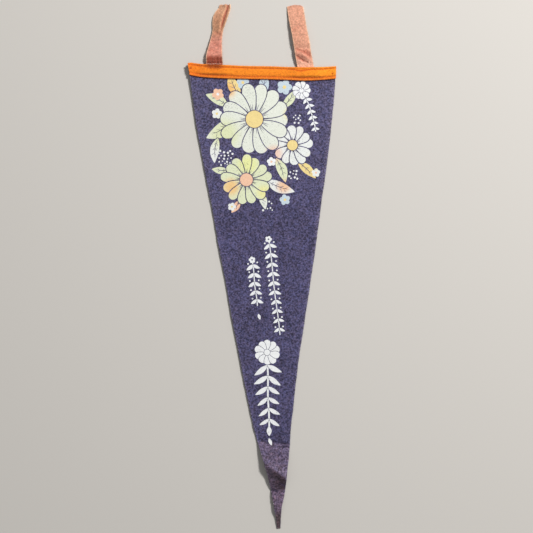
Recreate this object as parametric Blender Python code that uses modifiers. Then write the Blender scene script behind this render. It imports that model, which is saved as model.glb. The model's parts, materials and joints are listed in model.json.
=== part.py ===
"""Pennant flag of wool felt, lying face up: a long tapering cloth, a heading band sewn across
its wide end, and two ties tucked in under the band.

The model is in metres. X runs across the heading, Y from tip to heading, Z up from the surface.
The origin is under the middle of the whole outline, on the surface it lies on.
The tables below are in millimetres.
"""

from collections import namedtuple

import bmesh
import bpy
from mathutils import Vector

MM = 0.001

# Felt thicknesses and the clearance kept between pieces
CLOTH_THICK = 1.2
BAND_THICK = 1.1
TIE_THICK = 1.0
CLEARANCE = 0.35

# The cloth
CURL_SPAN = 0.10        # share of the width over which the left edge turns up
FOLD_CRISPNESS = 0.5    # 0 rounds every fold, 1 makes it a plain crease
FOLD_STEPS = 4          # mesh rows from one fold row to the next
BEHIND_BAND = 0.6       # how far the cloth's top edge stays behind the band's

# The band
COLUMN_STEP = 6.0       # widest spacing of the band's columns
BULGE_MARGIN = 0.6      # the band is fully raised this far past a tie's sides and end
BULGE_FALL = 6.0        # width of the slope from raised to flat beside a tie
BULGE_FOOT = 2.4        # length of the slope below a tie's end

# The ties
TUCK = 7.5              # length of a tie that is hidden under the band
TIE_REST = CLOTH_THICK + CLEARANCE
RIGHT_END_BOW = 2.4     # how far the right tie's cut end bows out in its middle
RIGHT_CAMBER = 0.5      # how far the right tie's middle stands above its sides

# The cloth's edges from heading to tip. lift is the height of the underside, curl the extra
# height of the left edge. A row whose two ends differ in y is a fold that runs slantwise.
ClothTop = namedtuple("ClothTop", "left_x right_x curl")
ClothRow = namedtuple("ClothRow", "left_x left_y right_x right_y lift curl")
CLOTH_TOP = ClothTop(-73.4, 73.6, 2.8)
CLOTH_ROWS = (
    ClothRow(-71.2, 182.3, 73.3, 182.3, 0.0, 1.9),
    ClothRow(-65.7, 142.3, 69.7, 142.3, 0.0, 1.1),
    ClothRow(-58.5, 102.3, 65.1, 102.3, 0.0, 1.0),
    ClothRow(-50.5, 62.3, 59.3, 62.3, 0.0, 1.0),
    ClothRow(-43.6, 22.3, 54.2, 22.3, 0.0, 1.0),
    ClothRow(-35.9, -17.7, 48.3, -17.7, 0.0, 0.9),
    ClothRow(-28.9, -57.7, 42.3, -57.7, 0.0, 1.1),
    ClothRow(-21.1, -97.7, 36.1, -97.7, 0.0, 1.0),
    ClothRow(-13.3, -137.7, 31.7, -137.7, 0.0, 1.0),
    ClothRow(-8.7, -158.7, 29.3, -158.7, 0.0, 0.9),
    ClothRow(-4.5, -174.7, 27.7, -180.7, 0.0, 0.8),
    ClothRow(-1.2, -185.7, 26.3, -196.7, 3.2, 0.9),
    ClothRow(2.4, -197.2, 24.5, -212.7, 6.2, 1.0),
    ClothRow(6.0, -209.7, 23.8, -219.2, 3.2, 0.6),
    ClothRow(9.0, -223.3, 22.9, -224.7, 0.7, 0.3),
    ClothRow(10.6, -231.7, 21.7, -232.7, 2.1, 0.3),
    ClothRow(12.2, -240.7, 19.9, -240.2, 3.0, 0.3),
    ClothRow(13.9, -250.7, 19.0, -250.7, 1.3, 0.2),
    ClothRow(15.0, -261.7, 18.5, -261.7, 0.0, 0.0),
)

# Where the cloth's columns stand, as shares of its width from left to right
CLOTH_COLUMNS = (0.0, 0.02, 0.04, 0.07, 0.10, 0.17, 0.25, 0.33, 0.41, 0.5, 0.59, 0.67, 0.75,
                 0.83, 0.91, 1.0)

# The band's two long edges from left to right
BandRow = namedtuple("BandRow", "top_x top_y low_x low_y")
BAND_EDGES = (
    BandRow(-74.1, 203.5, -72.0, 190.7),
    BandRow(-61.9, 202.0, -61.4, 189.1),
    BandRow(-47.9, 201.0, -47.6, 188.1),
    BandRow(-31.9, 200.6, -31.9, 187.5),
    BandRow(-11.9, 199.9, -11.9, 187.0),
    BandRow(8.1, 199.6, 8.1, 186.7),
    BandRow(28.1, 198.8, 28.1, 186.0),
    BandRow(42.1, 198.4, 42.1, 185.4),
    BandRow(58.1, 198.7, 58.1, 186.0),
    BandRow(74.1, 199.7, 73.9, 187.3),
)

# The band's section from its top edge (0) to its low edge (1): drawn down at the two seams,
# puffed up between and beside them
BandPoint = namedtuple("BandPoint", "across puff")
BAND_SECTION = (
    BandPoint(0.0, 0.25),
    BandPoint(0.08, 0.35),
    BandPoint(0.17, 0.0),
    BandPoint(0.27, 0.35),
    BandPoint(0.45, 0.55),
    BandPoint(0.62, 0.55),
    BandPoint(0.74, 0.30),
    BandPoint(0.82, 0.0),
    BandPoint(0.91, 0.35),
    BandPoint(1.0, 0.20),
)

# The ties' edges from the free end to the band's top edge. lift is the height of the underside,
# pleat the height of the lengthwise fold
TieRow = namedtuple("TieRow", "y left_x right_x lift pleat")
LEFT_TIE = (
    TieRow(261.0, -42.1, -31.6, 0.0, 3.0),
    TieRow(257.8, -43.3, -31.5, 0.0, 3.0),
    TieRow(254.3, -46.3, -32.2, 0.1, 2.9),
    TieRow(249.3, -48.6, -33.9, 0.4, 2.8),
    TieRow(242.8, -49.3, -36.1, 0.7, 2.9),
    TieRow(236.8, -49.0, -38.2, 1.0, 3.1),
    TieRow(230.8, -50.0, -39.3, 1.3, 2.9),
    TieRow(224.8, -51.7, -39.7, 1.9, 2.0),
    TieRow(218.8, -53.2, -39.7, 2.8, 1.0),
    TieRow(212.8, -54.9, -39.6, 3.7, 0.4),
    TieRow(208.3, -55.7, -39.3, 3.9, 0.0),
    TieRow(205.3, -55.7, -39.1, 2.9, 0.0),
    TieRow(202.4, -55.6, -38.9, TIE_REST, 0.0),
    TieRow(201.0 - TUCK, -55.2, -38.5, TIE_REST, 0.0),
)
RIGHT_TIE = (
    TieRow(259.3, 25.1, 41.3, 0.0, 0.0),
    TieRow(249.3, 26.4, 43.0, 1.2, 0.0),
    TieRow(240.3, 28.1, 44.2, 2.7, 0.0),
    TieRow(231.3, 29.8, 46.1, 3.7, 0.0),
    TieRow(222.3, 31.4, 47.8, 3.9, 0.0),
    TieRow(217.3, 32.2, 48.5, 3.0, 0.0),
    TieRow(213.3, 32.8, 49.1, 3.6, 0.0),
    TieRow(206.3, 34.0, 50.5, 2.9, 0.0),
    TieRow(200.4, 35.2, 51.7, TIE_REST, 0.0),
    TieRow(198.5 - TUCK, 37.0, 53.4, TIE_REST, 0.0),
)
TIE_ROW_STEPS = 2

# The pleat's section from left (0) to right (1): a slope up to a ridge, a groove beyond it,
# and the right edge turned up
PleatPoint = namedtuple("PleatPoint", "across height")
PLEAT_SECTION = (
    PleatPoint(0.0, 0.0),
    PleatPoint(0.17, 0.25),
    PleatPoint(0.34, 0.50),
    PleatPoint(0.50, 0.85),
    PleatPoint(0.58, 0.97),
    PleatPoint(0.66, 0.75),
    PleatPoint(0.76, 0.18),
    PleatPoint(0.87, 0.55),
    PleatPoint(1.0, 0.95),
)


def mix(low, high, share):
    """Value that lies the given share of the way from low to high."""
    return low + (high - low) * share


def ease(share):
    """Share from 0 to 1 turned into a slope that starts and ends level."""
    share = min(max(share, 0.0), 1.0)
    return share * share * (3.0 - 2.0 * share)


def through(points, at):
    """Height at a place on the smooth curve through (place, height) points, places rising."""
    index = 0
    while index < len(points) - 2 and at > points[index + 1][0]:
        index += 1
    (x0, y0), (x1, y1) = points[index], points[index + 1]
    before = points[max(index - 1, 0)]
    after = points[min(index + 2, len(points) - 1)]
    slope0 = (y1 - before[1]) / (x1 - before[0])
    slope1 = (after[1] - y0) / (after[0] - x0)
    t = (at - x0) / (x1 - x0)
    run = x1 - x0
    return ((1 + 2 * t) * (1 - t) ** 2 * y0 + t * (1 - t) ** 2 * run * slope0
            + t * t * (3 - 2 * t) * y1 + t * t * (t - 1) * run * slope1)


def band_top(x):
    """Y of the band's top edge."""
    return through([(row.top_x, row.top_y) for row in BAND_EDGES], x)


def curl_height(across, curl):
    """Height that the turned-up left edge adds at a share of the width."""
    return curl * max(0.0, 1.0 - across / CURL_SPAN) ** 2


def cloth_place(across, row):
    """Point of the cloth's underside. Row 0 is the top edge, row n the table's n-th row."""
    if row == 0:
        x = mix(CLOTH_TOP.left_x, CLOTH_TOP.right_x, across)
        return (x, band_top(x) - BEHIND_BAND, curl_height(across, CLOTH_TOP.curl))
    index = min(int(row) - 1, len(CLOTH_ROWS) - 2)
    share = row - 1 - index
    upper, lower = CLOTH_ROWS[index], CLOTH_ROWS[index + 1]
    left_x = mix(upper.left_x, lower.left_x, share)
    left_y = mix(upper.left_y, lower.left_y, share)
    right_x = mix(upper.right_x, lower.right_x, share)
    right_y = mix(upper.right_y, lower.right_y, share)
    slope = mix(ease(share), share, FOLD_CRISPNESS)
    lift = mix(upper.lift, lower.lift, slope)
    curl = mix(upper.curl, lower.curl, share)
    return (mix(left_x, right_x, across), mix(left_y, right_y, across),
            lift + curl_height(across, curl))


def cloth_rows():
    """Row numbers from tip to heading, close together where the cloth folds."""
    rows = [0]
    for index in range(len(CLOTH_ROWS) - 1):
        folded = CLOTH_ROWS[index].lift != CLOTH_ROWS[index + 1].lift
        steps = FOLD_STEPS if folded else 1
        rows += [index + 1 + step / steps for step in range(steps)]
    rows.append(len(CLOTH_ROWS))
    return rows[::-1]


def cloth_top_at(x, y):
    """Height of the cloth's upper face near the heading."""
    first = CLOTH_ROWS[0]
    down = (band_top(x) - y) / (band_top(x) - first.left_y)
    left_x = mix(CLOTH_TOP.left_x, first.left_x, down)
    right_x = mix(CLOTH_TOP.right_x, first.right_x, down)
    curl = mix(CLOTH_TOP.curl, first.curl, down)
    return CLOTH_THICK + curl_height((x - left_x) / (right_x - left_x), curl)


def tie_span(tie):
    """Left and right limits of the hidden end of a tie."""
    return min(row.left_x for row in tie[-2:]), max(row.right_x for row in tie[-2:])


def bulge(x, y):
    """Share of a tie's thickness by which the band is raised."""
    height = 0.0
    for tie in (LEFT_TIE, RIGHT_TIE):
        left, right = tie_span(tie)
        aside = max(left - x, x - right) - BULGE_MARGIN
        below = tie[-1].y - y - BULGE_MARGIN
        height = max(height, ease(1.0 - aside / BULGE_FALL) * ease(1.0 - below / BULGE_FOOT))
    return height


def band_columns():
    """Shares of the band's length, with a column wherever a bulge starts or ends."""
    left, right = BAND_EDGES[0].top_x, BAND_EDGES[-1].top_x
    stops = {left, right}
    for tie in (LEFT_TIE, RIGHT_TIE):
        tie_left, tie_right = tie_span(tie)
        for reach in (BULGE_MARGIN, BULGE_MARGIN + BULGE_FALL / 2, BULGE_MARGIN + BULGE_FALL):
            stops |= {tie_left - reach, tie_right + reach}
    stops = sorted(stops)
    columns = []
    for start, end in zip(stops, stops[1:]):
        steps = int((end - start) / COLUMN_STEP) + 1
        columns += [mix(start, end, step / steps) for step in range(steps)]
    columns.append(right)
    return [(x - left) / (right - left) for x in columns]


def band_place(along, point):
    """Point of the band's underside, along from its left end and across from its top edge."""
    x = mix(BAND_EDGES[0].top_x, BAND_EDGES[-1].top_x, along)
    low_x = through([(row.top_x, row.low_x) for row in BAND_EDGES], x)
    low_y = through([(row.top_x, row.low_y) for row in BAND_EDGES], x)
    x, y = mix(x, low_x, point.across), mix(band_top(x), low_y, point.across)
    raised = (TIE_THICK + CLEARANCE) * bulge(x, y)
    return (x, y, cloth_top_at(x, y) + CLEARANCE + raised + point.puff)


def tie_rows(tie):
    """Row numbers of a tie from the band to the free end."""
    count = (len(tie) - 1) * TIE_ROW_STEPS
    return [step / TIE_ROW_STEPS for step in range(count + 1)][::-1]


def tie_values(tie, row):
    """Left x, right x, y, lift and pleat of a tie at a row number."""
    places = list(enumerate(tie))
    left_x = through([(n, item.left_x) for n, item in places], row)
    right_x = through([(n, item.right_x) for n, item in places], row)
    index = min(int(row), len(tie) - 2)
    share = row - index
    y = mix(tie[index].y, tie[index + 1].y, share)
    lift = mix(tie[index].lift, tie[index + 1].lift, ease(share))
    pleat = mix(tie[index].pleat, tie[index + 1].pleat, share)
    return left_x, right_x, y, lift, pleat


def left_tie_place(point, row):
    """Point halfway through the left tie's felt."""
    left_x, right_x, y, lift, pleat = tie_values(LEFT_TIE, row)
    return (mix(left_x, right_x, point.across), y, lift + TIE_THICK / 2 + pleat * point.height)


def right_tie_place(across, row):
    """Point halfway through the right tie's felt."""
    left_x, right_x, y, lift, _ = tie_values(RIGHT_TIE, row)
    arch = 4.0 * across * (1.0 - across)
    free = min(1.0, (len(RIGHT_TIE) - 2 - row) / 2.0)
    camber = RIGHT_CAMBER * arch * max(0.0, free) * min(1.0, row)
    bow = RIGHT_END_BOW * arch * max(0.0, 1.0 - row)
    return (mix(left_x, right_x, across), y + bow, lift + TIE_THICK / 2 + camber)


def linear(channel):
    """Screen colour channel, 0 to 255, as a linear value."""
    value = channel / 255.0
    return value / 12.92 if value <= 0.04045 else ((value + 0.055) / 1.055) ** 2.4


def felt_material(name, red, green, blue, roughness):
    """Matt felt of one colour."""
    material = bpy.data.materials.new(name)
    material.use_nodes = True
    shader = material.node_tree.nodes["Principled BSDF"]
    shader.inputs["Base Color"].default_value = (linear(red), linear(green), linear(blue), 1.0)
    shader.inputs["Roughness"].default_value = roughness
    shader.inputs["Metallic"].default_value = 0.0
    return material


def felt_sheet(name, columns, rows, place, thickness, side, material, collection):
    """Felt piece: a grid laid out by place(column, row), then given its thickness.

    side is 1 where place gives the underside and 0 where it gives the middle of the felt.
    """
    mesh = bpy.data.meshes.new(name)
    bm = bmesh.new()
    bmesh.ops.create_grid(bm, x_segments=len(columns) - 1, y_segments=len(rows) - 1, size=0.5)
    for vert in bm.verts:
        column = columns[round((vert.co.x + 0.5) * (len(columns) - 1))]
        row = rows[round((vert.co.y + 0.5) * (len(rows) - 1))]
        vert.co = Vector(place(column, row)) * MM
    bm.to_mesh(mesh)
    bm.free()
    mesh.materials.append(material)
    piece = bpy.data.objects.new(name, mesh)
    collection.objects.link(piece)
    solidify = piece.modifiers.new("felt thickness", "SOLIDIFY")
    solidify.thickness = thickness * MM
    solidify.offset = side
    solidify.use_even_offset = True
    return piece


def build():
    for old in list(bpy.data.objects):
        bpy.data.objects.remove(old, do_unlink=True)
    collection = bpy.data.collections.new("pennant_flag")
    bpy.context.scene.collection.children.link(collection)

    navy = felt_material("navy_felt", 83, 79, 108, 0.95)
    orange = felt_material("orange_felt", 242, 140, 48, 0.9)
    terracotta = felt_material("terracotta_felt", 222, 155, 130, 0.95)

    felt_sheet("felt_body", CLOTH_COLUMNS, cloth_rows(), cloth_place, CLOTH_THICK, 1,
               navy, collection)
    felt_sheet("heading_band", band_columns(), BAND_SECTION[::-1], band_place, BAND_THICK, 1,
               orange, collection)
    felt_sheet("tie_left", PLEAT_SECTION, tie_rows(LEFT_TIE), left_tie_place, TIE_THICK, 0,
               terracotta, collection)
    flat_columns = [point.across for point in PLEAT_SECTION]
    felt_sheet("tie_right", flat_columns, tie_rows(RIGHT_TIE), right_tie_place, TIE_THICK, 0,
               terracotta, collection)


build()
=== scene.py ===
# %% [markdown]
# # A felt pennant, laid face up
#
# The real thing is four pieces of wool felt: a long tapering cloth with a design printed on it,
# a bright heading strip sewn across its wide end, and two ties caught under that strip. The
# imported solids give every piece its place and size. This lesson dresses them: it lays a fine
# sheet over each solid's folds, prints the cloth, sews the seams and lights the whole.
#
# All shapes are worked out in millimetres and turned into metres when a mesh is written.

import json
import math
import random
from collections import namedtuple

import bpy
from mathutils import Matrix, Vector
from mathutils.geometry import delaunay_2d_cdt

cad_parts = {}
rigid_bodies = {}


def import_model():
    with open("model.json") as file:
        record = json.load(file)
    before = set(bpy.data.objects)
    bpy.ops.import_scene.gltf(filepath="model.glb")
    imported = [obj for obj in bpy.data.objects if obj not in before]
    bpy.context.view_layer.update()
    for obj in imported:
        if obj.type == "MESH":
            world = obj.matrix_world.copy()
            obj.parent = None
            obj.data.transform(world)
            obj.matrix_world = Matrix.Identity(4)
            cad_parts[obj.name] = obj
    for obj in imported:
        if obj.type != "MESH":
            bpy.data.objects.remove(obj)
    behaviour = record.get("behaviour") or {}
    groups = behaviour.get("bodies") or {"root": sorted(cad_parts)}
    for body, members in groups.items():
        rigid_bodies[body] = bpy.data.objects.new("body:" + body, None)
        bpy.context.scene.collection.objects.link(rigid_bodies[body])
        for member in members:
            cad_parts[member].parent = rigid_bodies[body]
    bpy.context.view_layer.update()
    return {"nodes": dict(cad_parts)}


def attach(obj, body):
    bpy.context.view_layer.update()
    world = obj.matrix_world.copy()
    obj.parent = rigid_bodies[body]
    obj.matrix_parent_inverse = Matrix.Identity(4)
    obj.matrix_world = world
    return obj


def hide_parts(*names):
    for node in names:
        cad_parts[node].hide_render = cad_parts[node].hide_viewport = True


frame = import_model()
MM = 0.001
print("frame loaded:", ", ".join(sorted(frame["nodes"])))

# %% [markdown]
# ## Small helpers
#
# Curves through a short table of heights do most of the shaping here. A table row is a place
# that someone could measure with a ruler, and the curve fills in what lies between.

# %% Curves and slopes
def mix(low, high, share):
    """Value that lies the given share of the way from low to high."""
    return low + (high - low) * share


def ease(share):
    """Share from 0 to 1 turned into a slope that starts and ends level."""
    share = min(max(share, 0.0), 1.0)
    return share * share * (3.0 - 2.0 * share)


def rise(value, start, end):
    """0 up to the start and 1 from the end on. An end before the start makes it fall."""
    return ease((value - start) / (end - start))


def bell(value, middle, reach):
    """1 in the middle, about a third at its reach and soon nothing beyond."""
    return math.exp(-((value - middle) / reach) ** 2)


def through(points, at):
    """Height at a place on the smooth curve through (place, height) points, places rising."""
    index = 0
    while index < len(points) - 2 and at > points[index + 1][0]:
        index += 1
    (x0, y0), (x1, y1) = points[index], points[index + 1]
    before = points[max(index - 1, 0)]
    after = points[min(index + 2, len(points) - 1)]
    slope0 = (y1 - before[1]) / (x1 - before[0])
    slope1 = (after[1] - y0) / (after[0] - x0)
    t = (at - x0) / (x1 - x0)
    run = x1 - x0
    return ((1 + 2 * t) * (1 - t) ** 2 * y0 + t * (1 - t) ** 2 * run * slope0
            + t * t * (3 - 2 * t) * y1 + t * t * (t - 1) * run * slope1)


def ripple(x, y, size, seed):
    """Gentle unevenness between -1 and 1 whose waves are about size long."""
    turn = 2.0 * math.pi / size
    return (0.5 * math.sin(turn * (0.8 * x + 0.6 * y) + seed)
            + 0.3 * math.sin(turn * 1.9 * (0.5 * x - 0.9 * y) + 2.3 * seed)
            + 0.2 * math.sin(turn * 3.1 * (-0.7 * x - 0.7 * y) + 4.1 * seed))


Crease = namedtuple("Crease", "x0 y0 x1 y1 reach depth")


def creased(creases, x, y):
    """Height that soft troughs (depth above 0) and ridges (below 0) add at a place."""
    height = 0.0
    for crease in creases:
        along_x, along_y = crease.x1 - crease.x0, crease.y1 - crease.y0
        length = along_x ** 2 + along_y ** 2
        share = ((x - crease.x0) * along_x + (y - crease.y0) * along_y) / length
        share = min(max(share, 0.0), 1.0)
        gap = math.hypot(x - crease.x0 - share * along_x, y - crease.y0 - share * along_y)
        height -= crease.depth * bell(gap, 0.0, crease.reach)
    return height


# %% Pieces
def deselect():
    for piece in bpy.context.selected_objects:
        piece.select_set(False)


def pick(piece):
    """Makes a piece the one that the operators act on."""
    deselect()
    bpy.context.view_layer.objects.active = piece
    piece.select_set(True)


def apply_modifiers(piece):
    pick(piece)
    for modifier in list(piece.modifiers):
        bpy.ops.object.modifier_apply(modifier=modifier.name)


def piece_of(name, verts, faces):
    """A smooth piece made of points in millimetres."""
    mesh = bpy.data.meshes.new(name)
    mesh.from_pydata([Vector(place) * MM for place in verts], [], faces)
    mesh.shade_smooth()
    piece = bpy.data.objects.new(name, mesh)
    bpy.context.scene.collection.objects.link(piece)
    return piece


# %% [markdown]
# ## The shape of the cloth
#
# The cloth lies flat from the heading down to its tail, where it was once folded for storage:
# a valley, a high slanting crest, a trough and a lower crest. Its left edge turns up a little.
# The tables are the ones that the solid was cut from, so the fine sheet lies exactly on it.

# %% Tables of the cloth
CLOTH_THICK = 1.2
BEHIND_BAND = 0.6        # how far the cloth's top edge stays behind the band's
CURL_SPAN = 0.10         # share of the width that turns up at the left
FOLD_CRISPNESS = 0.5     # 0 for round folds, 1 for sharp ones
UNEVEN, UNEVEN_WAVE = 0.07, 31.0     # height and length of the felt's slow waves

ClothTop = namedtuple("ClothTop", "left_x right_x curl")
ClothRow = namedtuple("ClothRow", "left_x left_y right_x right_y lift curl")
CLOTH_TOP = ClothTop(-73.4, 73.6, 2.8)
CLOTH_ROWS = (
    ClothRow(-71.2, 182.3, 73.3, 182.3, 0.0, 1.9),
    ClothRow(-65.7, 142.3, 69.7, 142.3, 0.0, 1.1),
    ClothRow(-58.5, 102.3, 65.1, 102.3, 0.0, 1.0),
    ClothRow(-50.5, 62.3, 59.3, 62.3, 0.0, 1.0),
    ClothRow(-43.6, 22.3, 54.2, 22.3, 0.0, 1.0),
    ClothRow(-35.9, -17.7, 48.3, -17.7, 0.0, 0.9),
    ClothRow(-28.9, -57.7, 42.3, -57.7, 0.0, 1.1),
    ClothRow(-21.1, -97.7, 36.1, -97.7, 0.0, 1.0),
    ClothRow(-13.3, -137.7, 31.7, -137.7, 0.0, 1.0),
    ClothRow(-8.7, -158.7, 29.3, -158.7, 0.0, 0.9),
    ClothRow(-4.5, -174.7, 27.7, -180.7, 0.0, 0.8),
    ClothRow(-1.2, -185.7, 26.3, -196.7, 3.2, 0.9),
    ClothRow(2.4, -197.2, 24.5, -212.7, 6.2, 1.0),
    ClothRow(6.0, -209.7, 23.8, -219.2, 3.2, 0.6),
    ClothRow(9.0, -223.3, 22.9, -224.7, 0.7, 0.3),
    ClothRow(10.6, -231.7, 21.7, -232.7, 2.1, 0.3),
    ClothRow(12.2, -240.7, 19.9, -240.2, 3.0, 0.3),
    ClothRow(13.9, -250.7, 19.0, -250.7, 1.3, 0.2),
    ClothRow(15.0, -261.7, 18.5, -261.7, 0.0, 0.0),
)

BandRow = namedtuple("BandRow", "top_x top_y low_x low_y")
BAND_EDGES = (
    BandRow(-74.1, 203.5, -72.0, 190.7),
    BandRow(-61.9, 202.0, -61.4, 189.1),
    BandRow(-47.9, 201.0, -47.6, 188.1),
    BandRow(-31.9, 200.6, -31.9, 187.5),
    BandRow(-11.9, 199.9, -11.9, 187.0),
    BandRow(8.1, 199.6, 8.1, 186.7),
    BandRow(28.1, 198.8, 28.1, 186.0),
    BandRow(42.1, 198.4, 42.1, 185.4),
    BandRow(58.1, 198.7, 58.1, 186.0),
    BandRow(74.1, 199.7, 73.9, 187.3),
)

BAND_LEFT, BAND_RIGHT = BAND_EDGES[0].top_x, BAND_EDGES[-1].top_x

SEAMS = (0.17, 0.82)     # shares of the band's width where it is sewn
SEAM_SAG = 0.10          # how much further down the upper seam runs over the right tie
SAG_X, SAG_REACH = 38.5, 6.0

# Small creases that the solid is too coarse for
CLOTH_CREASES = (
    Crease(0.2, -173.6, 12.0, -175.2, 1.2, 0.25),
    Crease(12.0, -175.2, 26.5, -176.9, 1.3, 0.5),
    Crease(20.2, -180.5, 27.2, -179.9, 1.0, 0.8),
    Crease(12.0, -185.9, 18.1, -187.6, 1.0, 0.35),
    Crease(18.1, -187.6, 22.2, -191.6, 1.0, 0.4),
    Crease(8.8, -223.0, 15.2, -224.4, 1.2, 0.6),
    Crease(11.5, -232.5, 20.5, -235.5, 1.4, -0.4),
    Crease(18.0, -216.5, 24.0, -219.5, 1.6, 0.5),
)


# %% Heights of the cloth
def band_top(x):
    """Y of the band's top edge."""
    return through([(row.top_x, row.top_y) for row in BAND_EDGES], x)


def band_plan(across, along):
    """X and Y on the band: across from its top edge to its low edge, along from its left."""
    x = mix(BAND_LEFT, BAND_RIGHT, along)
    low_x = through([(row.top_x, row.low_x) for row in BAND_EDGES], x)
    low_y = through([(row.top_x, row.low_y) for row in BAND_EDGES], x)
    return mix(x, low_x, across), mix(band_top(x), low_y, across)


def curl_height(across, curl):
    """Height that the turned-up left edge adds at a share of the width."""
    return curl * max(0.0, 1.0 - across / CURL_SPAN) ** 2


def row_between(row):
    """The cloth's row at a number that may lie between two rows of the table, from 1 up."""
    index = min(int(row) - 1, len(CLOTH_ROWS) - 2)
    share = row - 1 - index
    upper, lower = CLOTH_ROWS[index], CLOTH_ROWS[index + 1]
    made = ClothRow(*(mix(a, b, share) for a, b in zip(upper, lower)))
    slope = mix(ease(share), share, FOLD_CRISPNESS)
    return made._replace(lift=mix(upper.lift, lower.lift, slope))


def cloth_place(across, row):
    """X, Y and height of the cloth's underside. Row 0 is the top edge."""
    if row < 1:
        first = CLOTH_ROWS[0]
        left_x = mix(CLOTH_TOP.left_x, first.left_x, row)
        x = mix(left_x, mix(CLOTH_TOP.right_x, first.right_x, row), across)
        y = mix(band_top(x) - BEHIND_BAND, first.left_y, row)
        return x, y, curl_height(across, mix(CLOTH_TOP.curl, first.curl, row))
    line = row_between(row)
    return (mix(line.left_x, line.right_x, across), mix(line.left_y, line.right_y, across),
            line.lift + curl_height(across, line.curl))


def tipward(row, x, y):
    """True if the place lies beyond this row, on the side of the tip."""
    line = row_between(row)
    share = (x - line.left_x) / (line.right_x - line.left_x)
    return y < mix(line.left_y, line.right_y, share)


def cloth_spot(x, y):
    """Share across and row number of a place on the cloth."""
    first = CLOTH_ROWS[0]
    if y > first.left_y:
        top = band_top(x) - BEHIND_BAND
        row = (top - y) / (top - first.left_y)
        left_x = mix(CLOTH_TOP.left_x, first.left_x, row)
        return (x - left_x) / (mix(CLOTH_TOP.right_x, first.right_x, row) - left_x), row
    low, high = 1.0, float(len(CLOTH_ROWS))
    while high - low > 1e-5:
        middle = (low + high) / 2
        if tipward(middle, x, y):
            low = middle
        else:
            high = middle
    line = row_between(low)
    return (x - line.left_x) / (line.right_x - line.left_x), low


def underside(x, y):
    """Height of the cloth's underside."""
    across, row = cloth_spot(x, y)
    return cloth_place(across, row)[2]


def cloth_top(x, y):
    """Height of the cloth's upper face, with its small creases and unevenness."""
    return (underside(x, y) + CLOTH_THICK + creased(CLOTH_CREASES, x, y)
            + UNEVEN * ripple(x, y, UNEVEN_WAVE, 1.0))


print("cloth:", len(CLOTH_ROWS), "rows, highest crest", max(r.lift for r in CLOTH_ROWS), "mm")

# %% [markdown]
# ## The printed design
#
# The real cloth is screen printed in white and a few soft tints. Here the design is a plain
# bunch of daisies and leaves under the heading, a short sprig with one flower beside it, two
# thin leafy sprays and a bold laurel branch running down to the tail. A screen leaves gaps of
# bare felt between its shapes, so a shape may clear a margin around itself before it is printed.
#
# Each shape is an outline made by a formula. Later they all cut the cloth's mesh, so the ink
# has crisp edges at any distance without any image.

# %% Outlines
Shape = namedtuple("Shape", "outline ink")
design = []
dice = random.Random(4)


def turned(points, x, y, angle):
    """Points set at a place and turned by an angle in degrees, 0 along +X."""
    cos, sin = math.cos(math.radians(angle)), math.sin(math.radians(angle))
    return [(x + a * cos - b * sin, y + a * sin + b * cos) for a, b in points]


def blade(length, width, profile, steps, bend=0.0):
    """Outline along +X whose half width at a share of the length is profile(share)."""
    shares = [0.5 - 0.5 * math.cos(math.pi * step / steps) for step in range(steps + 1)]
    upper = [(length * s, width / 2 * profile(s) + bend * math.sin(math.pi * s)) for s in shares]
    lower = [(length * s, -width / 2 * profile(s) + bend * math.sin(math.pi * s)) for s in shares]
    return lower + upper[-2:0:-1]


def petal_profile(share):
    """Narrow at the root, widest near the tip, with a round end."""
    return 1.42 * share ** 0.6 * math.sqrt(max(0.0, 1.0 - share ** 4))


def leaf_profile(share):
    """Pointed at both ends."""
    return math.sin(math.pi * share) ** 0.8 * (1.15 - 0.3 * share)


def grown(outline, by):
    """The outline moved outwards by a distance."""
    moved = []
    for (x0, y0), (x, y), (x1, y1) in zip(outline[-1:] + outline[:-1], outline,
                                          outline[1:] + outline[:1]):
        side_x, side_y = y1 - y0, x0 - x1
        length = math.hypot(side_x, side_y) or 1.0
        moved.append((x + by * side_x / length, y + by * side_y / length))
    return moved


ROUGH_STEP, ROUGH_BY = 0.9, 0.06


def roughened(outline, by):
    """The outline with a point about every step, each a hair out of place, as on fuzzy felt."""
    rough = []
    for (x0, y0), (x1, y1) in zip(outline, outline[1:] + outline[:1]):
        pieces = max(1, round(math.hypot(x1 - x0, y1 - y0) / ROUGH_STEP))
        for piece in range(pieces):
            share = piece / pieces
            rough.append((mix(x0, x1, share) + dice.uniform(-by, by),
                          mix(y0, y1, share) + dice.uniform(-by, by)))
    return rough


# %% Print a shape
BARE = None
GAP = 0.9                     # margin of bare felt round a large shape
RIB_SHARE, RIB_WIDTH = 0.82, 0.7
VEIN_WIDTH, VEIN_LEAN = 0.5, 42
LARGE_DAISY = 15.0            # a daisy that reaches further has wide gaps and veined petals
PETAL_VEIN = 0.55


def draw(outline, ink, gap=0.0):
    """Prints an outline over what is there, with a margin of bare felt round it."""
    if gap:
        design.append(Shape(grown(outline, gap), BARE))
    wide = max(x for x, y in outline) - min(x for x, y in outline)
    design.append(Shape(roughened(outline, min(ROUGH_BY, 0.02 * wide)), ink))


def dot(x, y, radius, ink, gap=0.0):
    sides = round(7 + radius * 4)
    angles = [2 * math.pi * side / sides for side in range(sides)]
    ring = [(radius * math.cos(angle), radius * math.sin(angle)) for angle in angles]
    draw(turned(ring, x, y, dice.uniform(0, 40)), ink, gap)


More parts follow.
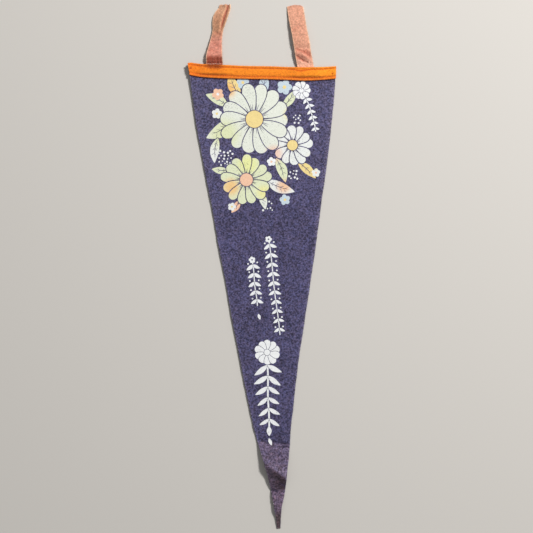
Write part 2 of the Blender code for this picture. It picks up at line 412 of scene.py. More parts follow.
def leaf(x, y, angle, length, width, ink, gap=0.0, bend=0.0, veins=0):
    """A leaf from its stalk at x, y, with a bare midrib and side veins if it is a large one."""
    draw(turned(blade(length, width, leaf_profile, 13, bend), x, y, angle), ink, gap)
    if not veins:
        return
    rib = blade(length * RIB_SHARE, RIB_WIDTH, leaf_profile, 6, bend * 0.9)
    design.append(Shape(turned(rib, x, y, angle), BARE))
    for vein in range(veins):
        start = length * (0.2 + 0.6 * vein / veins)
        sideways = bend * math.sin(math.pi * start / length)
        reach = width * 0.42 * leaf_profile(start / length)
        for side in (1, -1):
            stroke = blade(reach, VEIN_WIDTH, leaf_profile, 4)
            stroke = turned(stroke, start, sideways, side * VEIN_LEAN)
            design.append(Shape(turned(stroke, x, y, angle), BARE))


def daisy(x, y, reach, petals, width, eye, ink, eye_ink, turn=0.0):
    """Petals laid round an eye, each a little unlike the next."""
    large = reach > LARGE_DAISY
    for number in range(petals):
        angle = turn + 360.0 * number / petals + dice.uniform(-3, 3)
        long = reach * dice.uniform(0.93, 1.04) - eye * 0.7
        shape = blade(long, width * dice.uniform(0.92, 1.06), petal_profile, 17)
        start_x = x + eye * 0.7 * math.cos(math.radians(angle))
        start_y = y + eye * 0.7 * math.sin(math.radians(angle))
        draw(turned(shape, start_x, start_y, angle), ink, GAP if large else GAP / 2)
        for lean in (-7, 6) if large else ():
            stroke = blade(long * 0.34, PETAL_VEIN, leaf_profile, 4)
            design.append(Shape(turned(stroke, start_x, start_y, angle + lean), BARE))
    dot(x, y, eye, eye_ink, 0.8 if large else 0.4)


# %% Small shapes
DOT_SIZES, DOT_DISTANCE = (0.6, 1.15), 2.7     # radius and least distance of scattered dots


def blossom(x, y, reach, ink, eye_ink=BARE, petals=5, turn=0.0):
    """A small flower of round petals that touch each other."""
    for number in range(petals):
        angle = math.radians(turn + 360.0 * number / petals)
        dot(x + reach * 0.58 * math.cos(angle), y + reach * 0.58 * math.sin(angle),
            reach * 0.42, ink)
    dot(x, y, reach * 0.24, eye_ink)


def stem(points, width, ink):
    """A thin strip along a few points."""
    sides = []
    for side in (1, -1):
        for index, (x, y) in enumerate(points):
            x0, y0 = points[max(index - 1, 0)]
            x1, y1 = points[min(index + 1, len(points) - 1)]
            length = math.hypot(x1 - x0, y1 - y0)
            sides.append((x + side * width / 2 * (y1 - y0) / length,
                          y - side * width / 2 * (x1 - x0) / length))
    half = len(points)
    draw(sides[:half] + sides[half:][::-1], ink)


def sprinkle(x, y, spread, count, ink):
    """A loose scatter of small dots that keep clear of each other."""
    places = []
    for _ in range(40 * count):
        place = (x + dice.uniform(-spread, spread), y + dice.uniform(-spread, spread))
        if all(math.dist(place, other) > DOT_DISTANCE for other in places):
            places.append(place)
        if len(places) == count:
            break
    for place in places:
        dot(*place, dice.uniform(*DOT_SIZES), ink)


# %% [markdown]
# Inks are named by what they look like on the felt. A printer of that time would spray soft
# tints over the pale shapes, so the tints are round spots that fade out from a centre.

# %% Inks and sprayed tints
def linear(red, green, blue):
    """Screen colour, 0 to 255 a channel, as linear values."""
    made = []
    for channel in (red, green, blue):
        value = channel / 255.0
        made.append(value / 12.92 if value <= 0.04045 else ((value + 0.055) / 1.055) ** 2.4)
    return tuple(made)


Ink = namedtuple("Ink", "colour tinted")
WHITE = Ink(linear(246, 247, 246), False)
CREAM = Ink(linear(233, 236, 222), True)
MILK = Ink(linear(238, 240, 235), True)
GREEN = Ink(linear(228, 233, 196), True)
SKY = Ink(linear(204, 219, 227), False)
GOLD = Ink(linear(244, 219, 148), True)
PEACH = Ink(linear(247, 200, 168), False)

Tint = namedtuple("Tint", "x y reach colour strength")
TINTS = (
    Tint(-38.0, 132.0, 22.0, linear(226, 231, 176), 0.80),
    Tint(-31.0, 79.0, 12.0, linear(249, 196, 122), 0.80),
    Tint(-14.0, 102.0, 14.0, linear(240, 241, 158), 0.80),
    Tint(-34.0, 176.0, 11.0, linear(249, 190, 112), 0.85),
    Tint(12.0, 112.0, 12.0, linear(250, 200, 172), 0.75),
    Tint(52.0, 104.0, 10.0, linear(246, 234, 150), 0.90),
    Tint(22.0, 80.0, 10.0, linear(250, 190, 132), 0.75),
    Tint(2.0, 74.0, 10.0, linear(244, 236, 150), 0.70),
    Tint(28.0, 152.0, 9.0, linear(246, 230, 150), 0.60),
)


def layered(colour, *coats):
    """The colour with each coat's colour laid over it by its share, from 0 to 1."""
    for coat, share in coats:
        share = min(max(share, 0.0), 1.0)
        colour = tuple(mix(a, b, share) for a, b in zip(colour, coat))
    return colour


def tinted(ink, x, y):
    """Ink colour at a place, with the sprayed tints over it."""
    coats = []
    for tint in TINTS if ink.tinted else ():
        share = 1.0 - math.hypot(x - tint.x, y - tint.y) / tint.reach
        coats.append((tint.colour, tint.strength * ease(share * 1.4)))
    return layered(ink.colour, *coats)


# %% [markdown]
# ### The bunch under the heading
#
# Shapes printed later lie on top, so leaves come first and the large daisies last.

# %% Compose the bunch
Leaf = namedtuple("Leaf", "x y angle length width ink gap bend veins")
LEAVES = (
    Leaf(-28.0, 148.0, 216, 34, 14, CREAM, GAP, 2.5, 4),
    Leaf(-34.0, 160.0, 152, 25, 10, GREEN, GAP, -1.5, 3),
    Leaf(-22.0, 170.0, 118, 24, 11, GOLD, GAP, 1.0, 3),
    Leaf(2.0, 172.0, 84, 20, 10, SKY, GAP, 1.0, 2),
    Leaf(20.0, 158.0, 52, 24, 8.5, GREEN, GAP, -1.0, 3),
    Leaf(-44.0, 128.0, 262, 25, 9, MILK, GAP, -1.6, 3),
    Leaf(-34.0, 96.0, 176, 16, 7, GREEN, GAP, 0.8, 2),
    Leaf(36.0, 104.0, 318, 24, 9, GOLD, GAP, 1.0, 3),
    Leaf(14.0, 108.0, 292, 26, 10, GREEN, GAP, 1.5, 3),
    Leaf(4.0, 86.0, 338, 31, 11, MILK, GAP, -1.5, 4),
    Leaf(-2.0, 74.0, 288, 18, 7.5, CREAM, GAP, 0.8, 2),
    Leaf(-22.0, 66.0, 236, 15, 6.5, PEACH, GAP, 0.6, 2),
)

Blossom = namedtuple("Blossom", "x y reach ink eye_ink petals turn")
BLOSSOMS = (
    Blossom(22.5, 179.0, 7.6, SKY, GOLD, 5, 0),
    Blossom(-19.0, 183.5, 6.4, SKY, GOLD, 5, 20),
    Blossom(-44.0, 172.0, 6.0, PEACH, WHITE, 5, 50),
    Blossom(-45.0, 152.5, 5.2, MILK, GOLD, 5, 10),
    Blossom(23.0, 66.5, 5.4, SKY, GOLD, 5, 30),
    Blossom(54.0, 93.5, 4.4, MILK, PEACH, 5, 15),
    Blossom(9.5, 104.5, 4.6, WHITE, PEACH, 5, 25),
    Blossom(-30.0, 59.5, 4.2, MILK, GOLD, 5, 0),
)

Sprinkle = namedtuple("Sprinkle", "x y spread count ink")
SPRINKLES = (
    Sprinkle(-36.0, 108.0, 7.5, 22, WHITE),
    Sprinkle(31.0, 91.0, 4.5, 10, WHITE),
    Sprinkle(35.0, 147.0, 4.0, 8, WHITE),
    Sprinkle(6.0, 60.0, 5.0, 9, MILK),
)

Daisy = namedtuple("Daisy", "x y reach petals width eye ink eye_ink turn")
DAISIES = (
    Daisy(-15.5, 86.5, 25.0, 13, 10.0, 6.4, GREEN, PEACH, 8),
    Daisy(30.5, 121.0, 20.5, 12, 8.8, 5.2, MILK, GOLD, 4),
    Daisy(-7.5, 147.0, 35.0, 14, 13.5, 8.6, CREAM, GOLD, 0),
)

for shapes, print_one in ((LEAVES, leaf), (BLOSSOMS, blossom), (SPRINKLES, sprinkle),
                          (DAISIES, daisy)):
    for shape in shapes:
        print_one(*shape)
print("bunch:", len(design), "shapes")

# %% [markdown]
# ### Sprays along the cloth
#
# A spray is one stem with leaves in pairs that lean towards the tip and grow smaller. The same
# function draws the thin sprays and the bold laurel, at other sizes.

# %% Compose the sprays
Spray = namedtuple("Spray", "x0 y0 x1 y1 bow nodes long_first long_last wide stem berries")
LEAF_LEAN, LEAN_STRAY = 56, 4     # degrees from the stem
BERRY_LEAN, BERRY_OUT, BERRY_SIZE = 106, 0.58, 0.85


def spray_place(line, share):
    """Place on a spray's stem, which bows sideways in its middle."""
    away = line.bow * math.sin(math.pi * share) + 0.3 * math.sin(9 * share)
    return mix(line.x0, line.x1, share) + away, mix(line.y0, line.y1, share)


def spray(line, ink):
    """Leaves in pairs along a stem from x0, y0 to x1, y1, with berries between them if told."""
    stem([spray_place(line, index / 10) for index in range(11)], line.stem, ink)
    for pair in range(line.nodes):
        share = (pair + 0.25) / line.nodes
        x, y = spray_place(line, share)
        next_x, next_y = spray_place(line, share + 0.02)
        heading = math.degrees(math.atan2(next_y - y, next_x - x))
        long = mix(line.long_first, line.long_last, share)
        for side in (1, -1):
            grow = long * dice.uniform(0.94, 1.06)
            lean = heading + side * (LEAF_LEAN + dice.uniform(-LEAN_STRAY, LEAN_STRAY))
            leaf(x, y, lean, grow, grow * line.wide, ink, 0.35, side * -0.5)
        if line.berries:
            for side in (1, -1):
                step = math.radians(heading + side * BERRY_LEAN)
                dot(x + long * BERRY_OUT * math.cos(step), y + long * BERRY_OUT * math.sin(step),
                    BERRY_SIZE, ink)


spray(Spray(43.4, 169.0, 53.6, 134.5, 1.6, 6, 6.3, 4.6, 0.46, 1.0, False), WHITE)
daisy(39.6, 175.6, 9.4, 9, 5.2, 2.3, WHITE, WHITE)
spray(Spray(7.2, 24.6, 18.0, -68.5, 0.0, 10, 8.2, 6.6, 0.40, 1.0, True), WHITE)
spray(Spray(-9.4, 4.0, -4.6, -39.5, 0.0, 5, 8.4, 7.4, 0.42, 1.0, True), WHITE)
blossom(6.6, 27.0, 3.4, WHITE)
blossom(-9.8, 6.4, 3.4, WHITE, BARE, 5, 30)
leaf(-3.6, -47.6, 288, 6.0, 2.8, WHITE)
spray(Spray(5.4, -96.0, 7.2, -160.5, 0.0, 6, 16.5, 11.5, 0.31, 1.7, False), WHITE)
daisy(5.2, -86.0, 12.6, 10, 7.0, 3.0, WHITE, WHITE, 18)
leaf(7.2, -160.0, 271, 9.5, 5.0, WHITE)
leaf(6.9, -171.8, 292, 7.6, 3.2, WHITE)
print("whole design:", len(design), "shapes")

# %% [markdown]
# ## The cloth
#
# A cloth this thin could be a grid with a thickness. But the print has to cut its faces, so
# the upper face is a triangulation of three things at once: the cut edge, a net of points that
# follows the folds, and every outline of the design. The rim is then rolled down in five steps
# to a plain underside, which makes the felt one closed body with softly rounded edges.

# %% Points that carry the cloth
TOP_STEPS = 5           # mesh rows above the first row of the table
FLAT_STEPS = 10         # between two rows of the table on the flat
FOLD_STEPS = 13         # and where the cloth folds
FOLDS_BELOW = -160.0    # Y below which it folds
# Shares of the width, close together where the left edge turns up
COLUMNS = [0.0, 0.012, 0.025, 0.04, 0.055, 0.07, 0.085, 0.10, 0.12] + [
    0.15 + 0.85 * number / 24 for number in range(25)]
EDGE_WAVER, WAVER_LENGTH = 0.22, 27.0     # how far the scissors strayed, and how often
TIP_BELOW = -255.0      # Y below which they didn't


def net_rows():
    rows = [step / TOP_STEPS for step in range(TOP_STEPS)]
    for index in range(len(CLOTH_ROWS) - 1):
        steps = FLAT_STEPS if CLOTH_ROWS[index + 1].left_y > FOLDS_BELOW else FOLD_STEPS
        rows += [index + 1 + step / steps for step in range(steps)]
    return rows + [float(len(CLOTH_ROWS))]


def wavered(x, y, side):
    """A place on the cut edge, where the scissors strayed a little."""
    if y < TIP_BELOW:
        return x, y
    return x + side * EDGE_WAVER * ripple(x, y, WAVER_LENGTH, 2.0 + side), y


rows = net_rows()
left_edge = [wavered(*cloth_place(0.0, row)[:2], -1) for row in rows]
right_edge = [wavered(*cloth_place(1.0, row)[:2], 1) for row in rows]
top_edge = [cloth_place(across, 0)[:2] for across in COLUMNS[1:-1]]
tip_edge = [cloth_place(across, rows[-1])[:2] for across in (0.33, 0.67)]
cut_edge = left_edge + tip_edge + right_edge[::-1] + top_edge[::-1]
net = [cloth_place(across, row)[:2] for row in rows[1:-1] for across in COLUMNS[1:-1]]
print("cut edge of", len(cut_edge), "points, net of", len(net))


# %% Dimples of the back stitches
DIMPLE_STEP, DIMPLE_REACH, DIMPLE_DEPTH = 1.25, 0.75, 0.36
DIMPLE_COUNT = 58       # to each side of X = 0
SEAMS_ABOVE = 180.0     # Y above which the seams lie
SEAM_WANDER, WANDER_LENGTH = 0.012, 34.0


def seam_share(seam, x):
    """Share of the band's width where a seam really runs, as no one sews quite straight."""
    sag = SEAM_SAG * bell(x, SAG_X, SAG_REACH) if seam == SEAMS[0] else 0.0
    return seam + sag + SEAM_WANDER * ripple(x, 0.0, WANDER_LENGTH, 9.0 * seam)


def along_band(x):
    """Share of the band's length that lies left of an x."""
    return (x - BAND_LEFT) / (BAND_RIGHT - BAND_LEFT)


def seam_line(seam, x):
    """Y of a seam of the band at an x."""
    return band_plan(seam_share(seam, x), along_band(x))[1]


def dimple(x, y):
    """Depth that the back stitches pull into the cloth's underside."""
    if y < SEAMS_ABOVE:
        return 0.0
    gap = min(abs(y - seam_line(seam, x)) for seam in SEAMS)
    return DIMPLE_DEPTH * rise(gap, DIMPLE_REACH, 0.0)


# %% Upper face
INSET = 0.30          # how far inside the cut edge the upper face ends
SAME_POINT = 1e-6     # points closer than this become one
ROLL = (
    # millimetres out, share of the thickness down
    (0.16, 0.05), (0.30, 0.28), (0.30, 0.80), (0.16, 1.0), (0.0, 1.0),
)


def triangulated(edge, inside, shapes):
    """Triangles of the area within edge, each with the last shape that covers it."""
    places, areas = list(edge) + list(inside), [list(range(len(edge)))]
    for shape in shapes:
        start = len(places)
        places += shape.outline
        areas.append(list(range(start, len(places))))
    made = delaunay_2d_cdt([Vector(place) for place in places], [], areas, 0, SAME_POINT)
    points, faces, sources, covers = made[0], made[2], made[3], made[5]
    kept = [(face, max(cover)) for face, cover in zip(faces, covers) if 0 in cover]
    first = {}
    for number, origin in enumerate(sources):
        for source in origin:
            first.setdefault(source, number)
    return points, kept, [first[number] for number in range(len(edge))]


inner_edge = grown(cut_edge, -INSET)
points, faces, rim = triangulated(inner_edge, net, design)
verts = [(x, y, cloth_top(x, y)) for x, y in points]
upper_count = len(faces)
mesh_faces = [list(face) for face, _ in faces]
inks = [design[cover - 1].ink if cover else BARE for _, cover in faces]
print("upper face:", len(verts), "points,", len(mesh_faces), "triangles")

# %% Roll the rim down
ring = rim
outwards = grown(inner_edge, 1.0)
for out, down in ROLL:
    lower_ring = []
    for index, vertex in enumerate(rim):
        x, y = inner_edge[index]
        step_x, step_y = outwards[index][0] - x, outwards[index][1] - y
        top, low = verts[vertex][2], underside(x, y)
        lower_ring.append(len(verts))
        verts.append((x + step_x * out, y + step_y * out, mix(top, low, down)))
    for index in range(len(rim)):
        after = (index + 1) % len(rim)
        mesh_faces.append([ring[after], ring[index], lower_ring[index], lower_ring[after]])
        inks.append(BARE)
    ring = lower_ring
print("rim:", len(ROLL), "rings of", len(rim), "points")

# %% Underside
under_net = [cloth_place(across, row)[:2] for row in rows[2:-2:2] for across in COLUMNS[1:-1:2]]
for seam in SEAMS:
    for number in range(-DIMPLE_COUNT, DIMPLE_COUNT + 1):
        x, y = number * DIMPLE_STEP, seam_line(seam, number * DIMPLE_STEP)
        under_net += [(x, y), (x, y - DIMPLE_REACH), (x, y + DIMPLE_REACH)]
under_points, under_faces, under_rim = triangulated(inner_edge, under_net, [])
known = dict(zip(under_rim, ring))
for number, (x, y) in enumerate(under_points):
    if number not in known:
        known[number] = len(verts)
        verts.append((x, y, underside(x, y) + dimple(x, y)))
for face, _ in under_faces:
    mesh_faces.append([known[number] for number in face][::-1])
    inks.append(BARE)

cloth = piece_of("pennant_cloth", verts, mesh_faces)
print("cloth:", len(mesh_faces), "faces in all")


# %% [markdown]
# The ink is stored on the corners of the faces, because a corner belongs to one face alone and two
# inks can then meet without blending. The alpha says where there is ink at all. The colour of the
# felt, with the light and shade that are painted into it, changes slowly, so that is stored on the
# points.

# %% Put ink, and felt colour with its painted light and shade, on a mesh
FULL_SHADE_DEPTH = 0.6     # a crease this deep gets the full painted shade


def paint_ink(mesh, inks):
    layer = mesh.color_attributes.new(name="ink", type="FLOAT_COLOR", domain="CORNER")
    values = []
    for face, ink in zip(mesh.polygons, inks):
        for loop in face.loop_indices:
            if ink is BARE:
                values += (0.0, 0.0, 0.0, 0.0)
            else:
                place = mesh.vertices[mesh.loops[loop].vertex_index].co / MM
                values += (*tinted(ink, place.x, place.y), 1.0)
    layer.data.foreach_set("color", values)


def paint_colour_and_light(mesh, colour_and_light):
    """Stores the felt's colour at each point, with the light and shade painted into it. The given
    function of x and y gives it.
    """
    layer = mesh.color_attributes.new(name="colour_and_light", type="FLOAT_COLOR", domain="POINT")
    values = []
    for vertex in mesh.vertices:
        values += (*colour_and_light(*(vertex.co.xy / MM)), 1.0)
    layer.data.foreach_set("color", values)


def near(x, y, spot_x, spot_y, reach):
    """1 at a spot, falling to 0 at its reach."""
    return rise(math.hypot(x - spot_x, y - spot_y), reach, 0.0)


def crease_shade(creases, x, y):
    """Share of painted shade that a place in the creases gets."""
    return min(1.0, max(0.0, -creased(creases, x, y)) / FULL_SHADE_DEPTH)


# %% Colours of the cloth
# The lighter top, the pale tail, the faded tail, the pale crest and the pale edge carry painted
# light as well as the felt's colour; the browned tail, the brown tip and the crease colour carry
# painted shade.
NAVY_TOP_LIT = linear(77, 73, 101)
NAVY_MIDDLE = linear(72, 68, 97)
TAIL_PALE_AND_LIT = linear(94, 82, 104)
TAIL_FADED_AND_LIT = linear(101, 84, 103)
CREST_WORN_AND_LIT = linear(130, 114, 132)
BROWNED_AND_SHADED = linear(66, 50, 58)
TIP_BROWN_AND_SHADED = linear(76, 62, 66)
WORN_AND_LIT_EDGE = linear(112, 104, 124)
CREASE_SHADE_NAVY = linear(44, 35, 58)
FOLD_LINE = (-173.4, -177.6)     # Y where the pale tail begins, at the left and right edge
FOLD_BLUR = 1.6                  # over what length it does
CREST_ROW, CREST_REACH = 12.65, 0.25
BROWNED_SHADE_ROWS = 12.78, 13.03      # rows of the table where each change begins and is complete
FADED_LIT_ROWS = 14.6, 15.1
TIP_ROWS = 16.9, 18.1
EDGE_FADE = 1.6                  # width of the paler edge
HEADING_Y, HEADING_WIDTH, TAPER = 200.0, 147.0, 0.3


def cloth_width(y):
    """Rough width of the cloth at a height."""
    return HEADING_WIDTH - TAPER * (HEADING_Y - y)


def cloth_colour_and_light(x, y):
    """Felt colour with painted light and shade: lighter towards the heading, a tail that paled and
    browned where it was folded, painted light on its slopes towards the lamp, a painted highlight
    on its crest, painted shade on its slopes away from the lamp and in the creases, and paler
    edges with a painted highlight.
    """
    across, row = cloth_spot(x, y)
    fold_y = mix(*FOLD_LINE, across)
    behind = rise(row, *BROWNED_SHADE_ROWS) * (1.0 - rise(row, *FADED_LIT_ROWS))
    from_edge = min(across, 1.0 - across) * cloth_width(y)
    return layered(
        NAVY_MIDDLE,
        # Painted light: lighter towards the heading, where the lamp's light is stronger.
        (NAVY_TOP_LIT, rise(y, 20.0, 160.0)),
        # Paler, redder felt past the fold line, with painted light on the slope that rises from
        # there towards the lamp.
        (TAIL_PALE_AND_LIT, rise(y, fold_y, fold_y - FOLD_BLUR)),
        # Faded felt past the trough, with painted light on the slope that rises again to the
        # second crest.
        (TAIL_FADED_AND_LIT, rise(row, *FADED_LIT_ROWS)),
        # Worn felt with a painted highlight along the crest.
        (CREST_WORN_AND_LIT, 0.45 * bell(row, CREST_ROW, CREST_REACH) * ease(across * 1.4)),
        # Browned felt with painted shade on the slope that falls away from the lamp behind the
        # crest.
        (BROWNED_AND_SHADED, behind * mix(0.55, 0.92, ease(across * 1.3))),
        # Browned felt with painted shade on the slope that falls to the tip.
        (TIP_BROWN_AND_SHADED, rise(row, *TIP_ROWS)),
        # Painted shade in the small creases.
        (CREASE_SHADE_NAVY, 0.8 * crease_shade(CLOTH_CREASES, x, y)),
        # Paler worn edges, with a painted highlight where the right edge catches the lamp.
        (WORN_AND_LIT_EDGE, 0.4 * rise(from_edge, EDGE_FADE, 0.0)),
    )


paint_ink(cloth.data, inks)
paint_colour_and_light(cloth.data, cloth_colour_and_light)

# %% [markdown]
# ### A map for baking
#
# Whoever bakes this cloth needs it laid out flat in a square. A long triangle fills a square
# badly, so the upper face is cut across once and its tail half is turned round and set beside
# the heading half. The rim goes round each half like a hem, as wide as it really is, and the
# plain underside, where nothing is printed, is shrunk into the corner that is left.

# %% Lay the cloth out for baking
MAP_SIDE = 240.0
MAP_CUT = -29.0         # Y at which the upper face is cut across
MAP_TURNED_X = 100.0    # where X = 0 of the turned half comes to lie
MAP_MARGIN = 76.5, 4.5
RIM_REACH = (0.17, 0.48, 1.10, 1.38, 1.54)    # way from the upper face to each ring of the rim
UNDER_SCALE, UNDER_X, UNDER_Y = 0.38, 132.0, 126.5


def heading_half(x, y):
    return (x + MAP_MARGIN[0]) / MAP_SIDE, (y - MAP_CUT + MAP_MARGIN[1]) / MAP_SIDE


def tail_half(x, y):
    return heading_half(MAP_TURNED_X - x, 2.0 * MAP_CUT - y)


def under_spot(x, y):
    return heading_half(UNDER_X - x * UNDER_SCALE, UNDER_Y + y * UNDER_SCALE)


flat = [tuple(point) for point in points]
for reach in RIM_REACH:
    flat += [(mix(x, out_x, reach), mix(y, out_y, reach))
             for (x, y), (out_x, out_y) in zip(inner_edge, outwards)]
rim_end = upper_count + len(RIM_REACH) * len(rim)
layout = cloth.data.uv_layers.new(name="OFBake")
for face in cloth.data.polygons:
    if face.index < rim_end:
        places = [flat[number] for number in face.vertices]
        middle = sum(y for x, y in places) / len(places)
        half = heading_half if middle > MAP_CUT else tail_half
        spots = [half(*place) for place in places]
    else:
        spots = [under_spot(*(cloth.data.vertices[number].co.xy / MM)) for number in face.vertices]
    for loop, spot in zip(face.loop_indices, spots):
        layout.data[loop].uv = spot
for axis in (0, 1):
    places = [loop.uv[axis] for loop in layout.data]
    print("map runs from", round(min(places), 3), "to", round(max(places), 3))

# %% [markdown]
# ## A slab of felt from a grid
#
# The band and the ties are strips, and a strip is simplest as a primitive grid. Solidify turns
# it into a slab one unit thick, and then every point is sent to its place by three shares:
# sideways, up the sheet and through the felt. Bevel rounds the cut edges last.

# %% Lay a strip
CUT_ANGLE = 55     # degrees at which an edge counts as cut and is rounded


def strip(name, columns, steps, rounding, place):
    """Closed strip of felt. place(sideways, up, side) is a point, side 0 below and 1 above."""
    deselect()
    bpy.ops.mesh.primitive_grid_add(x_subdivisions=columns, y_subdivisions=steps, size=1.0)
    piece = bpy.context.active_object
    piece.name = piece.data.name = name
    slab = piece.modifiers.new("slab", "SOLIDIFY")
    slab.thickness = 1.0
    slab.offset = 1.0
    apply_modifiers(piece)
    for vertex in piece.data.vertices:
        share = vertex.co
        side = 1.0 if share.z > 0.5 else 0.0
        vertex.co = Vector(place(share.x + 0.5, share.y + 0.5, side)) * MM
    cut = piece.modifiers.new("cut edge", "BEVEL")
    cut.width = rounding * MM
    cut.segments = 2
    cut.limit_method = "ANGLE"
    cut.angle_limit = math.radians(CUT_ANGLE)
    apply_modifiers(piece)
    piece.data.shade_smooth()
    return piece


# %% [markdown]
# ## The heading band
#
# Two seams hold the band. Between them the felt puffs up, outside them its raw edges stand
# proud, and where a tie lies under it the band rises over the tie. Each stitch also pulls the
# felt down, so the seam is a chain of dents rather than a groove.

# %% Tables of the band and ties
BAND_THICK = 1.1
TIE_THICK = 1.0
CLEARANCE = 0.35
BULGE_MARGIN, BULGE_FALL, BULGE_FOOT = 0.6, 12.0, 3.0     # of the band where it covers a tie
TUCK = 7.5                                                # length of a tie below the band
TIE_REST = CLOTH_THICK + CLEARANCE

BAND_SECTION = (
    # across, puff
    (0.0, 0.25), (0.08, 0.35), (0.17, 0.0), (0.27, 0.35), (0.45, 0.55),
    (0.62, 0.55), (0.74, 0.30), (0.82, 0.0), (0.91, 0.35), (1.0, 0.20),
)

TieRow = namedtuple("TieRow", "y left_x right_x lift pleat")
LEFT_TIE = (
    TieRow(261.0, -42.1, -31.6, 0.0, 3.0),
    TieRow(257.8, -43.3, -31.5, 0.0, 3.0),
    TieRow(254.3, -46.3, -32.2, 0.1, 2.9),
    TieRow(249.3, -48.6, -33.9, 0.4, 2.8),
    TieRow(242.8, -49.3, -36.1, 0.7, 2.9),
    TieRow(236.8, -49.0, -38.2, 1.0, 3.1),
    TieRow(230.8, -50.0, -39.3, 1.3, 2.9),
    TieRow(224.8, -51.7, -39.7, 1.9, 2.0),
    TieRow(218.8, -53.2, -39.7, 2.8, 1.0),
    TieRow(212.8, -54.9, -39.6, 3.7, 0.4),
    TieRow(208.3, -55.7, -39.3, 3.9, 0.0),
    TieRow(205.3, -55.7, -39.1, 2.9, 0.0),
    TieRow(202.4, -55.6, -38.9, TIE_REST, 0.0),
    TieRow(201.0 - TUCK, -55.2, -38.5, TIE_REST, 0.0),
)
RIGHT_TIE = (
    TieRow(259.3, 25.1, 41.3, 0.0, 0.0),
    TieRow(249.3, 26.4, 43.0, 1.2, 0.0),
    TieRow(240.3, 28.1, 44.2, 2.7, 0.0),
    TieRow(231.3, 29.8, 46.1, 3.7, 0.0),
    TieRow(222.3, 31.4, 47.8, 3.9, 0.0),
    TieRow(217.3, 32.2, 48.5, 3.0, 0.0),
    TieRow(213.3, 32.8, 49.1, 3.6, 0.0),
    TieRow(206.3, 34.0, 50.5, 2.9, 0.0),
    TieRow(200.4, 35.2, 51.7, TIE_REST, 0.0),
    TieRow(198.5 - TUCK, 37.0, 53.4, TIE_REST, 0.0),
)


# %% Shape of the band
STITCH_PITCH = 2.6
SEAM_DENT, SEAM_REACH = 0.32, 0.75       # depth of a seam and its reach to each side
TUG = 0.28                               # share of that depth that comes and goes with a stitch
BAND_WIDTH = 13.0
PIN_HOLES = ((-71.2, 197.3, 2.1), (70.3, 192.3, 1.5))     # X, Y, reach of the rust
PIN_DEPTH = 0.30
BAND_UNEVEN, BAND_WAVE = 0.10, 17.0      # height and length of its slow waves
WORN_CORNER, CORNER_REACH = 1.2, 4.0     # how far its left corner has worn round


def bulge(x, y):
    """Share of a tie's thickness by which the band is raised."""
    height = 0.0
    for tie in (LEFT_TIE, RIGHT_TIE):
        left = min(row.left_x for row in tie[-2:])
        right = max(row.right_x for row in tie[-2:])
        aside = max(left - x, x - right) - BULGE_MARGIN
        below = tie[-1].y - y - BULGE_MARGIN
        height = max(height, rise(aside, BULGE_FALL, 0.0) * rise(below, BULGE_FOOT, 0.0))
    return height


def seam_dent(across, x):
    """Depth that the stitches pull into the felt."""
    dent = 0.0
    for seam in SEAMS:
        depth = SEAM_DENT * bell(across, seam_share(seam, x), SEAM_REACH / BAND_WIDTH)
        tug = 1.0 - TUG + TUG * math.cos(2 * math.pi * x / STITCH_PITCH)
        dent = max(dent, depth * tug)
    return dent


def band_place(across, along, side):
    """Point of the band: across from its top edge, along from its left end."""
    x, y = band_plan(across, along)
    y -= WORN_CORNER * rise(x, BAND_LEFT + CORNER_REACH, BAND_LEFT) * (1.0 - across) ** 4
    low = underside(x, y) + CLOTH_THICK + CLEARANCE + through(BAND_SECTION, across)
    low += (TIE_THICK + CLEARANCE) * bulge(x, y)
    if side == 0:
        return x, y, low
    hole = PIN_DEPTH * sum(near(x, y, *pin) for pin in PIN_HOLES)
    uneven = BAND_UNEVEN * ripple(x, y, BAND_WAVE, 3.0)
    return x, y, low + BAND_THICK + uneven - seam_dent(across, x) - hole


# %% Colours of the band
ORANGE = linear(245, 138, 34)
ORANGE_RIGHT = linear(250, 149, 36)
ORANGE_LOW = linear(234, 125, 36)
# The deeper orange is partly painted shade, and the tie rust is a painted shadow over some rust.
ORANGE_DEEP_AND_SHADE = linear(222, 100, 22)
TIE_SHADOW_AND_RUST = linear(146, 64, 22)
PIN_RUST = linear(176, 70, 20)
LEFT_TIE_X = -47.5     # middle of the left tie where it meets the band
SEAM_DARK_REACH = 0.8        # how far the darker felt reaches to each side of a seam


def band_colour_and_shade(x, y):
    """Deeper orange along the seams, painted shade at the left end, a painted shadow of the left
    tie over some rust, and rust round the pin holes.
    """
    top_y, low_y = (band_plan(edge, along_band(x))[1] for edge in (0.0, 1.0))
    across = (top_y - y) / (top_y - low_y)
    upper, lower = (bell(across, seam_share(seam, x), SEAM_DARK_REACH / BAND_WIDTH) for seam in SEAMS)
    pucker = rise(abs(x - SAG_X), 12.0, 0.0)
    beside_tie = rise(abs(x - LEFT_TIE_X), 13.0, 0.0)
    # Deeper orange along the seams, twice as deep where the upper seam sags over the right tie; at
    # the left end it is painted shade, and beside the left tie a painted shadow.
    deep_and_shade = 0.6 * upper * (1.0 + pucker) + 0.25 * lower
    deep_and_shade += 0.3 * rise(x, -50.0, -66.0) + 0.5 * beside_tie * (1.0 - across)
    return layered(
        ORANGE,
        (ORANGE_RIGHT, rise(x, 35.0, 60.0)),
        (ORANGE_LOW, rise(across, 0.6, 0.9)),
        (ORANGE_DEEP_AND_SHADE, deep_and_shade),
        # Painted shadow that the left tie throws on the band's top, over some rust.
        (TIE_SHADOW_AND_RUST, 0.85 * ease(1.3 * beside_tie) * rise(across, 0.42, 0.20)),
        (PIN_RUST, 0.9 * sum(near(x, y, *pin) for pin in PIN_HOLES)),
    )


band = strip("heading_strip", columns=250, steps=40, rounding=0.25,
             place=lambda u, v, side: band_place(1.0 - v, u, side))
paint_colour_and_light(band.data, band_colour_and_shade)
print("band:", len(band.data.polygons), "faces")

